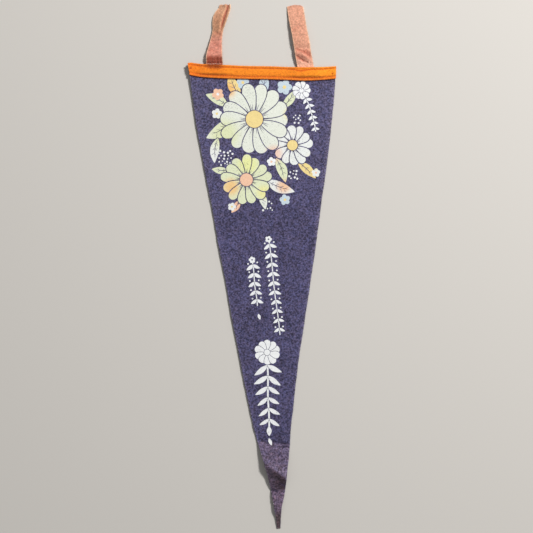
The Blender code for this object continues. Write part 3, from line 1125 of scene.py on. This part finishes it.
# %% [markdown]
# ## The ties
#
# Both ties spring up from under the band and come down to the surface at their free ends. The
# left one has kept a lengthwise pleat, the right one some pinched creases at its foot. Here the
# felt is worked out from the sheet that runs through its middle, and each face is half a
# thickness away from that sheet along its slope, so a steep pleat stays as thick as the rest.

# %% Shape of the ties
PLEAT_SECTION = (
    # across, share of the pleat's height
    (0.0, 0.0), (0.17, 0.25), (0.34, 0.50), (0.50, 0.85), (0.58, 0.97), (0.66, 0.75),
    (0.76, 0.18), (0.87, 0.55), (1.0, 0.95),
)
OPEN_SECTION = ((0.0, 0.0), (0.3, 0.30), (0.6, 0.62), (0.85, 0.90), (1.0, 0.80))
PLEAT_CLOSES = 231.0, 242.0             # Y where the pleat begins to close and is closed
RIGHT_END_BOW = 2.0                     # how far the right tie's end is cut round
RIGHT_CAMBER = 0.5                      # how far its middle stands above its edges
TIE_WAVER = 0.18                        # how far the scissors strayed along a tie
LEFT_RAGGED, RIGHT_RAGGED = 0.35, 0.25  # and across its end
LEFT_CREASES = (
    Crease(-52.0, 216.0, -46.0, 214.0, 1.6, 0.35),
    Crease(-47.5, 222.0, -42.0, 219.0, 1.5, 0.30),
    Crease(-50.0, 206.5, -49.0, 202.5, 0.9, 0.25),
    Crease(-45.0, 208.0, -44.5, 202.5, 0.9, 0.25),
    Crease(-46.0, 233.0, -41.5, 231.0, 1.2, 0.35),
)
RIGHT_CREASES = (
    Crease(34.9, 216.0, 41.8, 213.5, 1.3, 0.7),
    Crease(41.8, 213.5, 46.9, 210.2, 1.4, 0.9),
    Crease(43.6, 214.8, 47.6, 212.2, 1.2, 0.6),
    Crease(35.6, 208.8, 40.8, 205.3, 1.2, 0.8),
    Crease(40.8, 205.3, 45.2, 203.6, 1.1, 0.6),
    Crease(35.0, 212.4, 41.0, 210.4, 1.3, -0.5),
    Crease(41.0, 210.4, 47.2, 206.0, 1.4, -0.5),
    Crease(31.0, 236.0, 37.0, 238.5, 2.2, 0.25),
)


def tie_values(tie, row):
    """Left x, right x, y, lift and pleat of a tie at a row number."""
    places = list(enumerate(tie))
    left_x = through([(n, item.left_x) for n, item in places], row)
    right_x = through([(n, item.right_x) for n, item in places], row)
    index = min(int(row), len(tie) - 2)
    share = row - index
    y = mix(tie[index].y, tie[index + 1].y, share)
    lift = mix(tie[index].lift, tie[index + 1].lift, ease(share))
    pleat = mix(tie[index].pleat, tie[index + 1].pleat, share)
    return left_x, right_x, y, lift, pleat


def left_tie_middle(across, along):
    """Point halfway through the left tie's felt, along from its free end."""
    left_x, right_x, y, lift, pleat = tie_values(LEFT_TIE, along * (len(LEFT_TIE) - 1))
    x = mix(left_x, right_x, across) + TIE_WAVER * (across - 0.5) * ripple(0.0, y, 9.0, 5.0)
    y += LEFT_RAGGED * ripple(x, 0.0, 4.3, 6.0) * max(0.0, 1.0 - along * 12.0)
    lift += creased(LEFT_CREASES, x, y)
    closed = rise(y, *PLEAT_CLOSES)
    section = mix(through(OPEN_SECTION, across), through(PLEAT_SECTION, across), closed)
    return x, y, lift + TIE_THICK / 2 + pleat * section


def right_tie_middle(across, along):
    """Point halfway through the right tie's felt, along from its free end."""
    row = along * (len(RIGHT_TIE) - 1)
    left_x, right_x, y, lift, _ = tie_values(RIGHT_TIE, row)
    arch = 4.0 * across * (1.0 - across)
    free = min(1.0, (len(RIGHT_TIE) - 2 - row) / 2.0)
    camber = RIGHT_CAMBER * arch * max(0.0, free) * min(1.0, row)
    x = mix(left_x, right_x, across) + TIE_WAVER * (across - 0.5) * ripple(0.0, y, 11.0, 7.0)
    y += RIGHT_END_BOW * arch * (0.6 + 0.6 * across) * max(0.0, 1.0 - row)
    y += RIGHT_RAGGED * ripple(x, 0.0, 5.1, 8.0) * max(0.0, 1.0 - row)
    return x, y, lift + creased(RIGHT_CREASES, x, y) + TIE_THICK / 2 + camber


def tie_face(middle, across, along, side):
    """Point on the lower face (side 0) or the upper face (side 1)."""
    step = 0.003
    over = Vector(middle(min(across + step, 1.0), along))
    over -= Vector(middle(max(across - step, 0.0), along))
    down = Vector(middle(across, min(along + step, 1.0)))
    down -= Vector(middle(across, max(along - step, 0.0)))
    out = down.cross(over).normalized()
    return Vector(middle(across, along)) + out * TIE_THICK * (side - 0.5)


# %% [markdown]
# The ties were dyed salmon and have aged apart: the right one is still even, with painted shade in
# its creases, while the left one is tanned towards its end and dark red at its foot, where a seam
# once held it, with painted shade over that stain where the tie drops to the band and in its pleat
# and creases. Both show the paler core of the felt along their cut sides.

# %% Colours of the ties
SALMON = linear(216, 155, 128)
SALMON_LOW = linear(219, 150, 125)
SALMON_FOOT = linear(244, 184, 156)
SALMON_EDGE = linear(243, 201, 165)
# The crease red and the pleat red are painted shade, and the foot red is a stain with painted
# shade over it.
CREASE_SHADE_RED = linear(190, 106, 84)
ROSE = linear(219, 144, 124)
TAN = linear(199, 144, 111)
TAN_END = linear(213, 158, 124)
FOOT_RED_AND_SHADE = linear(150, 68, 46)
PLEAT_SHADE_RED = linear(176, 88, 68)
FOOT_TOP = 212.2       # Y where the dark foot of the left tie ends
FOOT_BLUR = 5.0        # over what length it darkens
EDGE_SHARE = 1 / 14    # width of the worn edge as a share of a tie's width


def side_share(tie, x, y):
    """Share across a tie at a place."""
    rows = [row for row in tie if row.y >= y]
    index = min(max(len(rows) - 1, 0), len(tie) - 2)
    share = (tie[index].y - y) / (tie[index].y - tie[index + 1].y)
    left = mix(tie[index].left_x, tie[index + 1].left_x, share)
    return (x - left) / (mix(tie[index].right_x, tie[index + 1].right_x, share) - left)


def worn_edge(across):
    """Share of the pale core that shows near a tie's cut sides."""
    return rise(min(across, 1.0 - across), EDGE_SHARE, 0.0)


def left_tie_colour_and_shade(x, y):
    across = side_share(LEFT_TIE, x, y)
    foot_y = FOOT_TOP + 0.5 * ripple(x, 0.0, 6.0, 1.0)
    pleat = rise(abs(across - 0.77), 0.13, 0.0) * rise(y, 234.0, 242.0)
    return layered(
        ROSE,
        (TAN, rise(y, 222.0, 238.0)),
        (TAN_END, rise(y, 246.0, 254.0)),
        # Painted shade in the valley of the pleat and in the creases.
        (PLEAT_SHADE_RED, 0.8 * pleat + 0.5 * crease_shade(LEFT_CREASES, x, y)),
        # Dark red stain at the foot, with painted shade where the tie drops steeply to the band.
        (FOOT_RED_AND_SHADE, rise(y, foot_y, foot_y - FOOT_BLUR) * (0.9 + 0.1 * ripple(x, 0.0, 2.7, 2.0))),
        (SALMON_EDGE, 0.75 * worn_edge(across)),
    )


def right_tie_colour_and_shade(x, y):
    return layered(
        SALMON,
        (SALMON_LOW, rise(y, 222.0, 208.0)),
        (SALMON_FOOT, rise(y, 207.5, 203.5)),
        # Painted shade in the creases.
        (CREASE_SHADE_RED, 0.6 * crease_shade(RIGHT_CREASES, x, y)),
        (SALMON_EDGE, 0.7 * worn_edge(side_share(RIGHT_TIE, x, y))),
    )


left_tie = strip("left_tie_felt", columns=44, steps=170, rounding=0.2,
                 place=lambda u, v, side: tie_face(left_tie_middle, u, 1.0 - v, side))
right_tie = strip("right_tie_felt", columns=44, steps=150, rounding=0.2,
                  place=lambda u, v, side: tie_face(right_tie_middle, u, 1.0 - v, side))
paint_colour_and_light(left_tie.data, left_tie_colour_and_shade)
paint_colour_and_light(right_tie.data, right_tie_colour_and_shade)
print("ties:", len(left_tie.data.polygons), "and", len(right_tie.data.polygons), "faces")

# %% [markdown]
# ## Sewing thread
#
# A lock stitch shows on both faces of the work. One stitch is drawn as a short bent curve with
# a round section, turned into a mesh, and copied along every seam: over the band in orange,
# along the underside of the cloth, and six loose cream ones at the foot of the left tie.

# %% One stitch
THREAD = 0.17     # its radius
BENDS = (
    # share of the length from the middle, height
    (-0.5, -0.30), (-0.42, -0.02), (-0.22, 0.09), (0.0, 0.12), (0.22, 0.09), (0.42, -0.02),
    (0.5, -0.30),
)


def stitch_model(length):
    """A stitch along +X that dives into the felt at both ends."""
    line = bpy.data.curves.new("stitch", "CURVE")
    line.dimensions = "3D"
    line.bevel_depth = THREAD * MM
    line.bevel_resolution = 1
    line.use_fill_caps = True
    spline = line.splines.new("POLY")
    spline.points.add(len(BENDS) - 1)
    for point, (along, up) in zip(spline.points, BENDS):
        point.co = (along * length * MM, 0.0, up * MM, 1.0)
    model = bpy.data.objects.new("stitch", line)
    bpy.context.scene.collection.objects.link(model)
    pick(model)
    bpy.ops.object.convert(target="MESH")
    return bpy.context.active_object


def sewn(name, model, stitches):
    """Copies of a stitch in one mesh. A stitch is where it lies, where it points and its up."""
    verts, faces = [], []
    for at, towards, up in stitches:
        towards = Vector(towards).normalized()
        sideways = Vector(up).cross(towards).normalized()
        turn = Matrix((towards, sideways, towards.cross(sideways))).transposed()
        start = len(verts)
        verts += [Vector(at) + turn @ vertex.co / MM for vertex in model.data.vertices]
        faces += [[start + n for n in face.vertices] for face in model.data.polygons]
    return piece_of(name, verts, faces)


# %% Sew the seams
SEAM_MARGIN = 1.6                     # how far from the band's ends the seams stop
STITCH_FILLS = 0.94                   # share of the pitch that a stitch fills
ABOVE_BAND, ABOVE_BACK = 0.03, 0.12   # how high the thread lies on each face
FOOT_STITCH, FOOT_PITCH = 1.7, 2.35   # length and distance of the loose ones
FOOT_START, FOOT_Y, FOOT_Z = -53.6, 202.0, 2.72
FOOT_SHIFTS, FOOT_LEAN = (0.10, -0.15, 0.0, 0.2, -0.1, 0.05), 0.12


def seam_point(seam, x, face):
    """Point of a seam on the top of the band (face 1) or below the cloth (face 0)."""
    place = Vector(band_place(seam_share(seam, x), along_band(x), 1))
    if face == 0:
        place.z = underside(place.x, place.y) + THREAD + ABOVE_BACK
    return place


def seam_stitches(face):
    """Stitches along both seams, on one face of the work."""
    made = []
    first = math.ceil((BAND_LEFT + SEAM_MARGIN) / STITCH_PITCH)
    last = math.floor((BAND_RIGHT - SEAM_MARGIN) / STITCH_PITCH)
    for seam in SEAMS:
        for hole in range(first, last):
            start, end = (seam_point(seam, (hole + n) * STITCH_PITCH, face) for n in (0, 1))
            middle = (start + end) / 2
            if face == 1:
                middle.z = seam_point(seam, middle.x, face).z + ABOVE_BAND
            made.append((middle, end - start, (0, 0, 1 if face else -1)))
    return made


stitch = stitch_model(STITCH_PITCH * STITCH_FILLS)
band_seams = sewn("band_seams", stitch, seam_stitches(1))
back_seams = sewn("back_seams", stitch, seam_stitches(0))

foot_stitches = []
for number, shift in enumerate(FOOT_SHIFTS):
    at = (FOOT_START + FOOT_PITCH * number, FOOT_Y + shift, FOOT_Z)
    foot_stitches.append((at, (1.0, FOOT_LEAN * math.sin(number), 0.0), (0, 0, 1)))
foot_seam = sewn("tie_foot_seam", stitch_model(FOOT_STITCH), foot_stitches)
for model in [piece for piece in bpy.data.objects if piece.name.startswith("stitch")]:
    bpy.data.objects.remove(model)
print("stitches:", len(seam_stitches(1)), "on top,", len(seam_stitches(0)), "below")

# %% [markdown]
# ## Wool felt as a material
#
# Felt has no weave. Close up it is a mat of curled fibres, and from a step back it is heather:
# small light and dark flecks about a millimetre wide. Both are made by noise on Object
# coordinates, in one node group that every felt here shares. Three noises stretched in
# different directions give the fibres, and a slow noise bends them so that none runs straight.

# %% Node helpers
def node(tree, kind, inputs=None, **settings):
    """A new node. An input may be a number, a vector, a colour or another node's output."""
    made = tree.nodes.new(kind)
    for name, value in settings.items():
        setattr(made, name, value)
    for name, value in (inputs or {}).items():
        if isinstance(value, bpy.types.NodeSocket):
            tree.links.new(value, made.inputs[name])
        else:
            made.inputs[name].default_value = value
    return made


def calc(tree, operation, first, second=0.0, third=0.0):
    made = node(tree, "ShaderNodeMath", {0: first, 1: second, 2: third}, operation=operation)
    return made.outputs[0]


def ranged(tree, value, low, high, to_low=0.0, to_high=1.0):
    """The value's run from low to high, spread over another run."""
    inputs = {"Value": value, "From Min": low, "From Max": high, "To Min": to_low,
              "To Max": to_high}
    return node(tree, "ShaderNodeMapRange", inputs).outputs["Result"]


def mixed(tree, first, second, share):
    made = node(tree, "ShaderNodeMix", {"Factor": share, 6: first, 7: second},
                data_type="RGBA")
    return made.outputs[2]


def vector_calc(tree, operation, first, second):
    """Vector maths. The second input is a number where the first one is scaled."""
    name = "Scale" if operation == "SCALE" else 1
    made = node(tree, "ShaderNodeVectorMath", {0: first, name: second}, operation=operation)
    return made.outputs[0]


def noise(tree, place, scale, detail=1.0, roughness=0.5):
    inputs = {"Vector": place, "Scale": scale, "Detail": detail, "Roughness": roughness}
    return node(tree, "ShaderNodeTexNoise", inputs).outputs["Fac"]


def new_group(name, inputs, outputs):
    """An empty shader group with sockets of the given kinds, its input and its output node."""
    tree = bpy.data.node_groups.new(name, "ShaderNodeTree")
    for socket, kind in inputs:
        tree.interface.new_socket(socket, in_out="INPUT", socket_type="NodeSocket" + kind)
    for socket, kind in outputs:
        tree.interface.new_socket(socket, in_out="OUTPUT", socket_type="NodeSocket" + kind)
    return tree, node(tree, "NodeGroupInput"), node(tree, "NodeGroupOutput")


# %% The felt group
FIBRE_LONG = 1 / 800     # metres of object per unit of noise, along a fibre
FIBRE_WIDE = 1 / 9000    # and across it
FIBRE_TURNS = (0.35, 1.45, 2.5)


def wool_felt_group():
    """Colour with its painted light and shade in, heathered colour and height of the fibres out.
    """
    tree, given, made = new_group(
        "wool_felt",
        (("Dye and light", "Color"), ("Fleck", "Float"), ("Contrast", "Float")),
        (("Colour", "Color"), ("Height", "Float")),
    )
    place = node(tree, "ShaderNodeTexCoord").outputs["Object"]
    drift = node(tree, "ShaderNodeTexNoise", {"Vector": place, "Scale": 330.0, "Detail": 1.0})
    bent = vector_calc(tree, "SCALE", drift.outputs["Color"], 0.0035)
    curled = vector_calc(tree, "ADD", place, bent)
    fibres = 0.0
    for turn in FIBRE_TURNS:
        mapping = node(tree, "ShaderNodeMapping",
                       {"Vector": curled, "Rotation": (0.0, 0.0, turn),
                        "Scale": (FIBRE_LONG, FIBRE_WIDE, FIBRE_WIDE * 2)},
                       vector_type="TEXTURE")
        fibres = calc(tree, "MAXIMUM", fibres, noise(tree, mapping.outputs[0], 1.0))
    fibres = ranged(tree, fibres, 0.50, 0.80)
    fleck = noise(tree, place, given.outputs["Fleck"], 3.0, 0.6)
    fleck = ranged(tree, fleck, 0.32, 0.68, -1.0, 1.0)
    cloud = ranged(tree, noise(tree, place, 210.0, 2.0), 0.3, 0.7, -0.16, 0.16)
    broad = ranged(tree, noise(tree, place, 32.0, 3.0), 0.3, 0.7, -0.18, 0.18)
    grain = ranged(tree, noise(tree, place, 2600.0), 0.3, 0.7, -0.45, 0.45)
    light = calc(tree, "MULTIPLY_ADD", fibres, 0.7, calc(tree, "ADD", fleck, grain))
    light = calc(tree, "ADD", light, calc(tree, "ADD", cloud, broad))
    light = calc(tree, "MULTIPLY_ADD", light, given.outputs["Contrast"], 0.93)
    light = calc(tree, "MAXIMUM", light, 0.4)
    colour = vector_calc(tree, "SCALE", given.outputs["Dye and light"], light)
    shift = ranged(tree, noise(tree, place, 380.0), 0.3, 0.7, -0.07, 0.07)
    shift = calc(tree, "MULTIPLY", shift, given.outputs["Contrast"])
    warm = node(tree, "ShaderNodeCombineXYZ", {"X": calc(tree, "ADD", 1.0, shift), "Y": 1.0,
                                               "Z": calc(tree, "SUBTRACT", 1.0, shift)})
    varied = vector_calc(tree, "MULTIPLY", colour, warm.outputs[0])
    height = calc(tree, "MULTIPLY_ADD", fleck, 0.45, calc(tree, "MULTIPLY", fibres, 0.4))
    height = calc(tree, "MULTIPLY_ADD", grain, 0.35, height)
    tree.links.new(varied, made.inputs["Colour"])
    tree.links.new(height, made.inputs["Height"])
    return tree


wool_felt = wool_felt_group()

# %% [markdown]
# Screen ink lies on the fibres rather than between them, so an old print is worn into small
# bare flecks where the fibres stand highest, and it is a little smoother than the felt. The ink
# group mixes the two and also puts out how much ink is left, for the height and the roughness.

# %% The ink group
def worn_ink_group():
    """Felt, ink and its cover in, the mixed colour and what is left of the ink out."""
    tree, given, made = new_group(
        "worn_ink",
        (("Felt", "Color"), ("Height", "Float"), ("Ink", "Color"), ("Cover", "Float")),
        (("Colour", "Color"), ("Left", "Float")),
    )
    place = node(tree, "ShaderNodeTexCoord").outputs["Object"]
    flecks = noise(tree, place, 950.0, 2.0, 0.6)
    rubbed = noise(tree, place, 45.0, 2.0)
    wear = calc(tree, "MULTIPLY_ADD", rubbed, 0.30, flecks)
    kept = ranged(tree, wear, 0.47, 0.54, 0.5, 0.98)
    kept = calc(tree, "MULTIPLY", kept, given.outputs["Cover"])
    tone = ranged(tree, given.outputs["Height"], -0.2, 0.8, 0.93, 1.02)
    inked = vector_calc(tree, "SCALE", given.outputs["Ink"], tone)
    colour = mixed(tree, given.outputs["Felt"], inked, kept)
    tree.links.new(colour, made.inputs["Colour"])
    tree.links.new(kept, made.inputs["Left"])
    return tree


worn_ink = worn_ink_group()


# %% Materials of the pieces
FELT_ROUGH, INK_ROUGH = 0.92, 0.72


def bare_material(name):
    """A material with a Principled shader that still has to be told its colour."""
    material = bpy.data.materials.new(name)
    material.use_nodes = True
    tree = material.node_tree
    tree.nodes.clear()
    shader = node(tree, "ShaderNodeBsdfPrincipled",
                  {"Roughness": FELT_ROUGH, "Specular IOR Level": 0.25, "Sheen Weight": 0.18,
                   "Sheen Roughness": 0.45})
    output = node(tree, "ShaderNodeOutputMaterial")
    tree.links.new(shader.outputs[0], output.inputs["Surface"])
    return material, tree, shader


def felt_material(name, fleck, contrast, relief, printed=False):
    """Felt coloured by the piece's own attribute, painted light and shade included, with flecks
    that many to the metre.
    """
    material, tree, shader = bare_material(name)
    colour_and_light = node(tree, "ShaderNodeAttribute", attribute_name="colour_and_light")
    felt = node(tree, "ShaderNodeGroup", node_tree=wool_felt, inputs={
        "Dye and light": colour_and_light.outputs["Color"], "Fleck": fleck, "Contrast": contrast})
    colour, height = felt.outputs["Colour"], felt.outputs["Height"]
    if printed:
        ink = node(tree, "ShaderNodeAttribute", attribute_name="ink")
        inked = node(tree, "ShaderNodeGroup", node_tree=worn_ink, inputs={
            "Felt": colour, "Height": height, "Ink": ink.outputs["Color"],
            "Cover": ink.outputs["Alpha"]})
        colour, left = inked.outputs["Colour"], inked.outputs["Left"]
        smooth = ranged(tree, left, 0.0, 1.0, 1.0, 0.35)
        height = calc(tree, "MULTIPLY_ADD", height, smooth, calc(tree, "MULTIPLY", left, 0.25))
        rough = ranged(tree, left, 0.0, 1.0, FELT_ROUGH, INK_ROUGH)
        tree.links.new(rough, shader.inputs["Roughness"])
    tree.links.new(colour, shader.inputs["Base Color"])
    bump = node(tree, "ShaderNodeBump",
                {"Strength": 0.7, "Distance": relief * MM, "Height": height})
    tree.links.new(bump.outputs[0], shader.inputs["Normal"])
    return material


def thread_material(name, dark, light):
    """Cotton thread: fine bands of light and dark where the plies turn round each other."""
    material, tree, shader = bare_material(name)
    place = node(tree, "ShaderNodeTexCoord").outputs["Object"]
    plies = node(tree, "ShaderNodeTexWave",
                 {"Vector": place, "Scale": 900.0, "Distortion": 1.5, "Detail": 1.0},
                 wave_type="BANDS", bands_direction="DIAGONAL")
    colour = mixed(tree, (*dark, 1.0), (*light, 1.0), plies.outputs["Fac"])
    tree.links.new(colour, shader.inputs["Base Color"])
    bump = node(tree, "ShaderNodeBump", {"Strength": 0.5, "Distance": 0.05 * MM,
                                         "Height": plies.outputs["Fac"]})
    tree.links.new(bump.outputs[0], shader.inputs["Normal"])
    return material


# %% Dress the pieces
navy_felt = felt_material("printed_navy_felt", fleck=580.0, contrast=0.98, relief=0.20,
                          printed=True)
orange_felt = felt_material("orange_heading_felt", fleck=620.0, contrast=0.20, relief=0.17)
tie_felt = felt_material("salmon_tie_felt", fleck=520.0, contrast=0.27, relief=0.20)
orange_thread = thread_material("orange_thread", linear(196, 84, 16), linear(238, 134, 44))
cream_thread = thread_material("cream_thread", linear(206, 180, 158), linear(244, 226, 208))
for piece, material in (
    (cloth, navy_felt), (band, orange_felt), (left_tie, tie_felt), (right_tie, tie_felt),
    (band_seams, orange_thread), (back_seams, orange_thread), (foot_seam, cream_thread),
):
    piece.data.materials.append(material)
print("materials:", ", ".join(sorted(material.name for material in bpy.data.materials)))

# %% [markdown]
# ## Loose fibres
#
# What tells felt from card at its edge is fuzz. Each fibre is a closed tube with three sides
# and two bends. They are rooted at random on the finished pieces, most of them on the cut
# edges, and none where ink has matted them down or where the cloth lies on its underside.
# A fibre is far thinner than any pattern, so it has one plain colour out of two or three.

# %% One fibre
FIBRE_THICK = 0.024     # its radius at the root
FIBRE_SIDES = 3
FIBRE_RINGS = 4
FIBRE_LEANS = 0.25, 0.6     # share by which it stands up from the felt, least and most
FIBRE_CURL = 0.6            # how far its end may curl aside, as a share of its length
ROOT_DEPTH, FIBRE_HEIGHT = 0.08, 0.05
rootings = random.Random(11)


def fibre(root, outwards, length):
    """Points and faces of one curled fibre that grows out of the root and bends over."""
    flat = Vector((rootings.gauss(0, 1), rootings.gauss(0, 1), rootings.gauss(0, 0.3)))
    lean = rootings.uniform(*FIBRE_LEANS) * abs(1.3 - abs(outwards.z))
    towards = (flat.normalized() * (1.0 - lean) + outwards * lean).normalized()
    sideways = towards.cross(outwards + flat * 0.01).normalized()
    curl = rootings.uniform(-FIBRE_CURL, FIBRE_CURL) * length
    verts, faces = [], []
    for ring in range(FIBRE_RINGS):
        share = ring / (FIBRE_RINGS - 1)
        centre = root + towards * length * share + sideways * curl * share * share
        centre -= outwards * (ROOT_DEPTH if ring == 0 else -FIBRE_HEIGHT)
        centre.z = max(centre.z, FIBRE_THICK)
        for side in range(FIBRE_SIDES):
            angle = 2 * math.pi * side / FIBRE_SIDES
            spoke = sideways * math.cos(angle) + sideways.cross(towards) * math.sin(angle)
            verts.append(centre + spoke * FIBRE_THICK * (1.0 - 0.5 * share))
    for ring in range(FIBRE_RINGS - 1):
        for side in range(FIBRE_SIDES):
            here = ring * FIBRE_SIDES + side
            after = ring * FIBRE_SIDES + (side + 1) % FIBRE_SIDES
            faces.append((here, here + FIBRE_SIDES, after + FIBRE_SIDES, after))
    last = (FIBRE_RINGS - 1) * FIBRE_SIDES
    faces.append(tuple(range(FIBRE_SIDES)))
    faces.append(tuple(last + side for side in reversed(range(FIBRE_SIDES))))
    return verts, faces


# %% Grow the fuzz
EDGE_BELOW = 0.6            # a face whose normal rises less belongs to a cut edge
UNDER_BELOW = -0.2          # and one that points down lies under the piece
EDGE_GROWTH = 10.0          # how much thicker fuzz grows on a cut edge than on a face
EDGE_LENGTHS = 0.4, 1.2     # of its fibres, shortest and longest
FACE_LENGTHS = 1.0, 2.2


def plain_fibre_material(name, colour):
    material, _, shader = bare_material(name)
    shader.inputs["Base Color"].default_value = (*colour, 1.0)
    return material


def spot_on(corners):
    """A random place on a face with three or four corners."""
    a, b = rootings.random(), rootings.random()
    if len(corners) > 3:
        return corners[0].lerp(corners[1], a).lerp(corners[3].lerp(corners[2], a), b)
    if a + b > 1.0:
        a, b = 1.0 - a, 1.0 - b
    return corners[0] + (corners[1] - corners[0]) * a + (corners[2] - corners[0]) * b


def fuzz(name, felt, count, colours, rooted=None):
    """Fibres on a felt piece. rooted(face) says whether any may grow on a face."""
    grounds, weights = [], []
    for face in felt.data.polygons:
        if face.normal.z < UNDER_BELOW or (rooted and not rooted(face)):
            continue
        grounds.append(face)
        weights.append(face.area * (EDGE_GROWTH if face.normal.z < EDGE_BELOW else 1.0))
    verts, faces, tones = [], [], []
    for ground in rootings.choices(grounds, weights, k=count):
        root = spot_on([felt.data.vertices[v].co for v in ground.vertices]) / MM
        lengths = EDGE_LENGTHS if ground.normal.z < EDGE_BELOW else FACE_LENGTHS
        made, sides = fibre(root, ground.normal.copy(), rootings.uniform(*lengths))
        tone = rootings.randrange(len(colours))
        faces += [[len(verts) + v for v in side] for side in sides]
        tones += [tone] * len(sides)
        verts += made
    piece = piece_of(name, verts, faces)
    for number, colour in enumerate(colours):
        piece.data.materials.append(plain_fibre_material(name + "_" + str(number), colour))
    piece.data.polygons.foreach_set("material_index", tones)
    return piece


printed_faces = {number for number, ink in enumerate(inks) if ink is not BARE}
cloth_fuzz = fuzz("cloth_fuzz", cloth, 8500,
                  [linear(128, 122, 150), linear(92, 87, 117), linear(66, 61, 88)],
                  lambda face: face.index not in printed_faces)
band_fuzz = fuzz("heading_fuzz", band, 1600, [linear(250, 158, 66), linear(228, 112, 32)])
left_fuzz = fuzz("left_tie_fuzz", left_tie, 900, [linear(240, 186, 154), linear(196, 128, 100)])
right_fuzz = fuzz("right_tie_fuzz", right_tie, 900,
                  [linear(247, 205, 172), linear(222, 152, 124)])
fuzzes = (cloth_fuzz, band_fuzz, left_fuzz, right_fuzz)
print("fuzz:", sum(len(piece.data.polygons) for piece in fuzzes), "faces")

# %% [markdown]
# ## Into the frame
#
# Every piece rides on the one body that cloth without a joint has. The four felt pieces stand for
# the four solids, which are hidden.

# %% Ride and replace
for piece, solid, finish in (
    (cloth, "felt_body", "navy_felt"),
    (band, "heading_band", "orange_felt"),
    (left_tie, "tie_left", "terracotta_felt"),
    (right_tie, "tie_right", "terracotta_felt"),
    (band_seams, None, "orange_felt"),
    (back_seams, None, "orange_felt"),
    (foot_seam, None, "terracotta_felt"),
    (cloth_fuzz, None, "navy_felt"),
    (band_fuzz, None, "orange_felt"),
    (left_fuzz, None, "terracotta_felt"),
    (right_fuzz, None, "terracotta_felt"),
):
    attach(piece, "root")
    if solid:
        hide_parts(solid)

# %% [markdown]
# ## Floor, light and camera
#
# The pennant was looked at from straight above. One soft lamp stands at its upper right, at
# about the height of a window, so every fold and edge throws a short shadow to the left and
# down, and a pale sky fills those shadows. The camera is far enough away for one millimetre a
# pixel.

# %% Floor
FLOOR_SIDE, FLOOR_DROP = 40.0, 0.00005
deselect()
bpy.ops.mesh.primitive_plane_add(size=FLOOR_SIDE, location=(0.0, 0.0, -FLOOR_DROP))
floor = bpy.context.active_object
floor.name = "floor"
paper = bpy.data.materials.new("pale_paper")
paper.use_nodes = True
surface = paper.node_tree.nodes["Principled BSDF"].inputs
surface["Base Color"].default_value = (*linear(206, 201, 194), 1.0)
surface["Roughness"].default_value = 0.9
floor.data.materials.append(paper)

# %% Light
LAMP_AWAY, LAMP_SIDE, LAMP_WATTS = 2.4, 0.36, 61.0
LAMP_TURN = math.radians(48)
LAMP_RISE = math.radians(44)
towards_lamp = Vector((math.cos(LAMP_TURN) * math.cos(LAMP_RISE),
                       math.sin(LAMP_TURN) * math.cos(LAMP_RISE), math.sin(LAMP_RISE)))
deselect()
bpy.ops.object.light_add(type="AREA", location=towards_lamp * LAMP_AWAY)
lamp = bpy.context.active_object
lamp.rotation_euler = towards_lamp.to_track_quat("Z", "Y").to_euler()
lamp.data.size = LAMP_SIDE
lamp.data.energy = LAMP_WATTS

sky = bpy.data.worlds.new("pale_sky")
bpy.context.scene.world = sky
sky.use_nodes = True
glow = sky.node_tree.nodes["Background"].inputs
glow["Color"].default_value = (0.96, 0.98, 1.0, 1.0)
glow["Strength"].default_value = 0.28
bpy.context.scene.view_settings.view_transform = "Standard"

# %% Camera
IMAGE_SIDE = 533
LENS, SENSOR = 85.0, 36.0
CENTRE = (0.0046, -0.0002)
away = IMAGE_SIDE * MM * LENS / SENSOR
bpy.ops.object.camera_add(location=(*CENTRE, away), rotation=(0.0, 0.0, 0.0))
camera = bpy.context.active_object
camera.data.lens = LENS
camera.data.sensor_width = SENSOR
camera.data.clip_start = 0.01
bpy.context.scene.camera = camera
print("camera stands", round(camera.location.z, 3), "m above the floor")
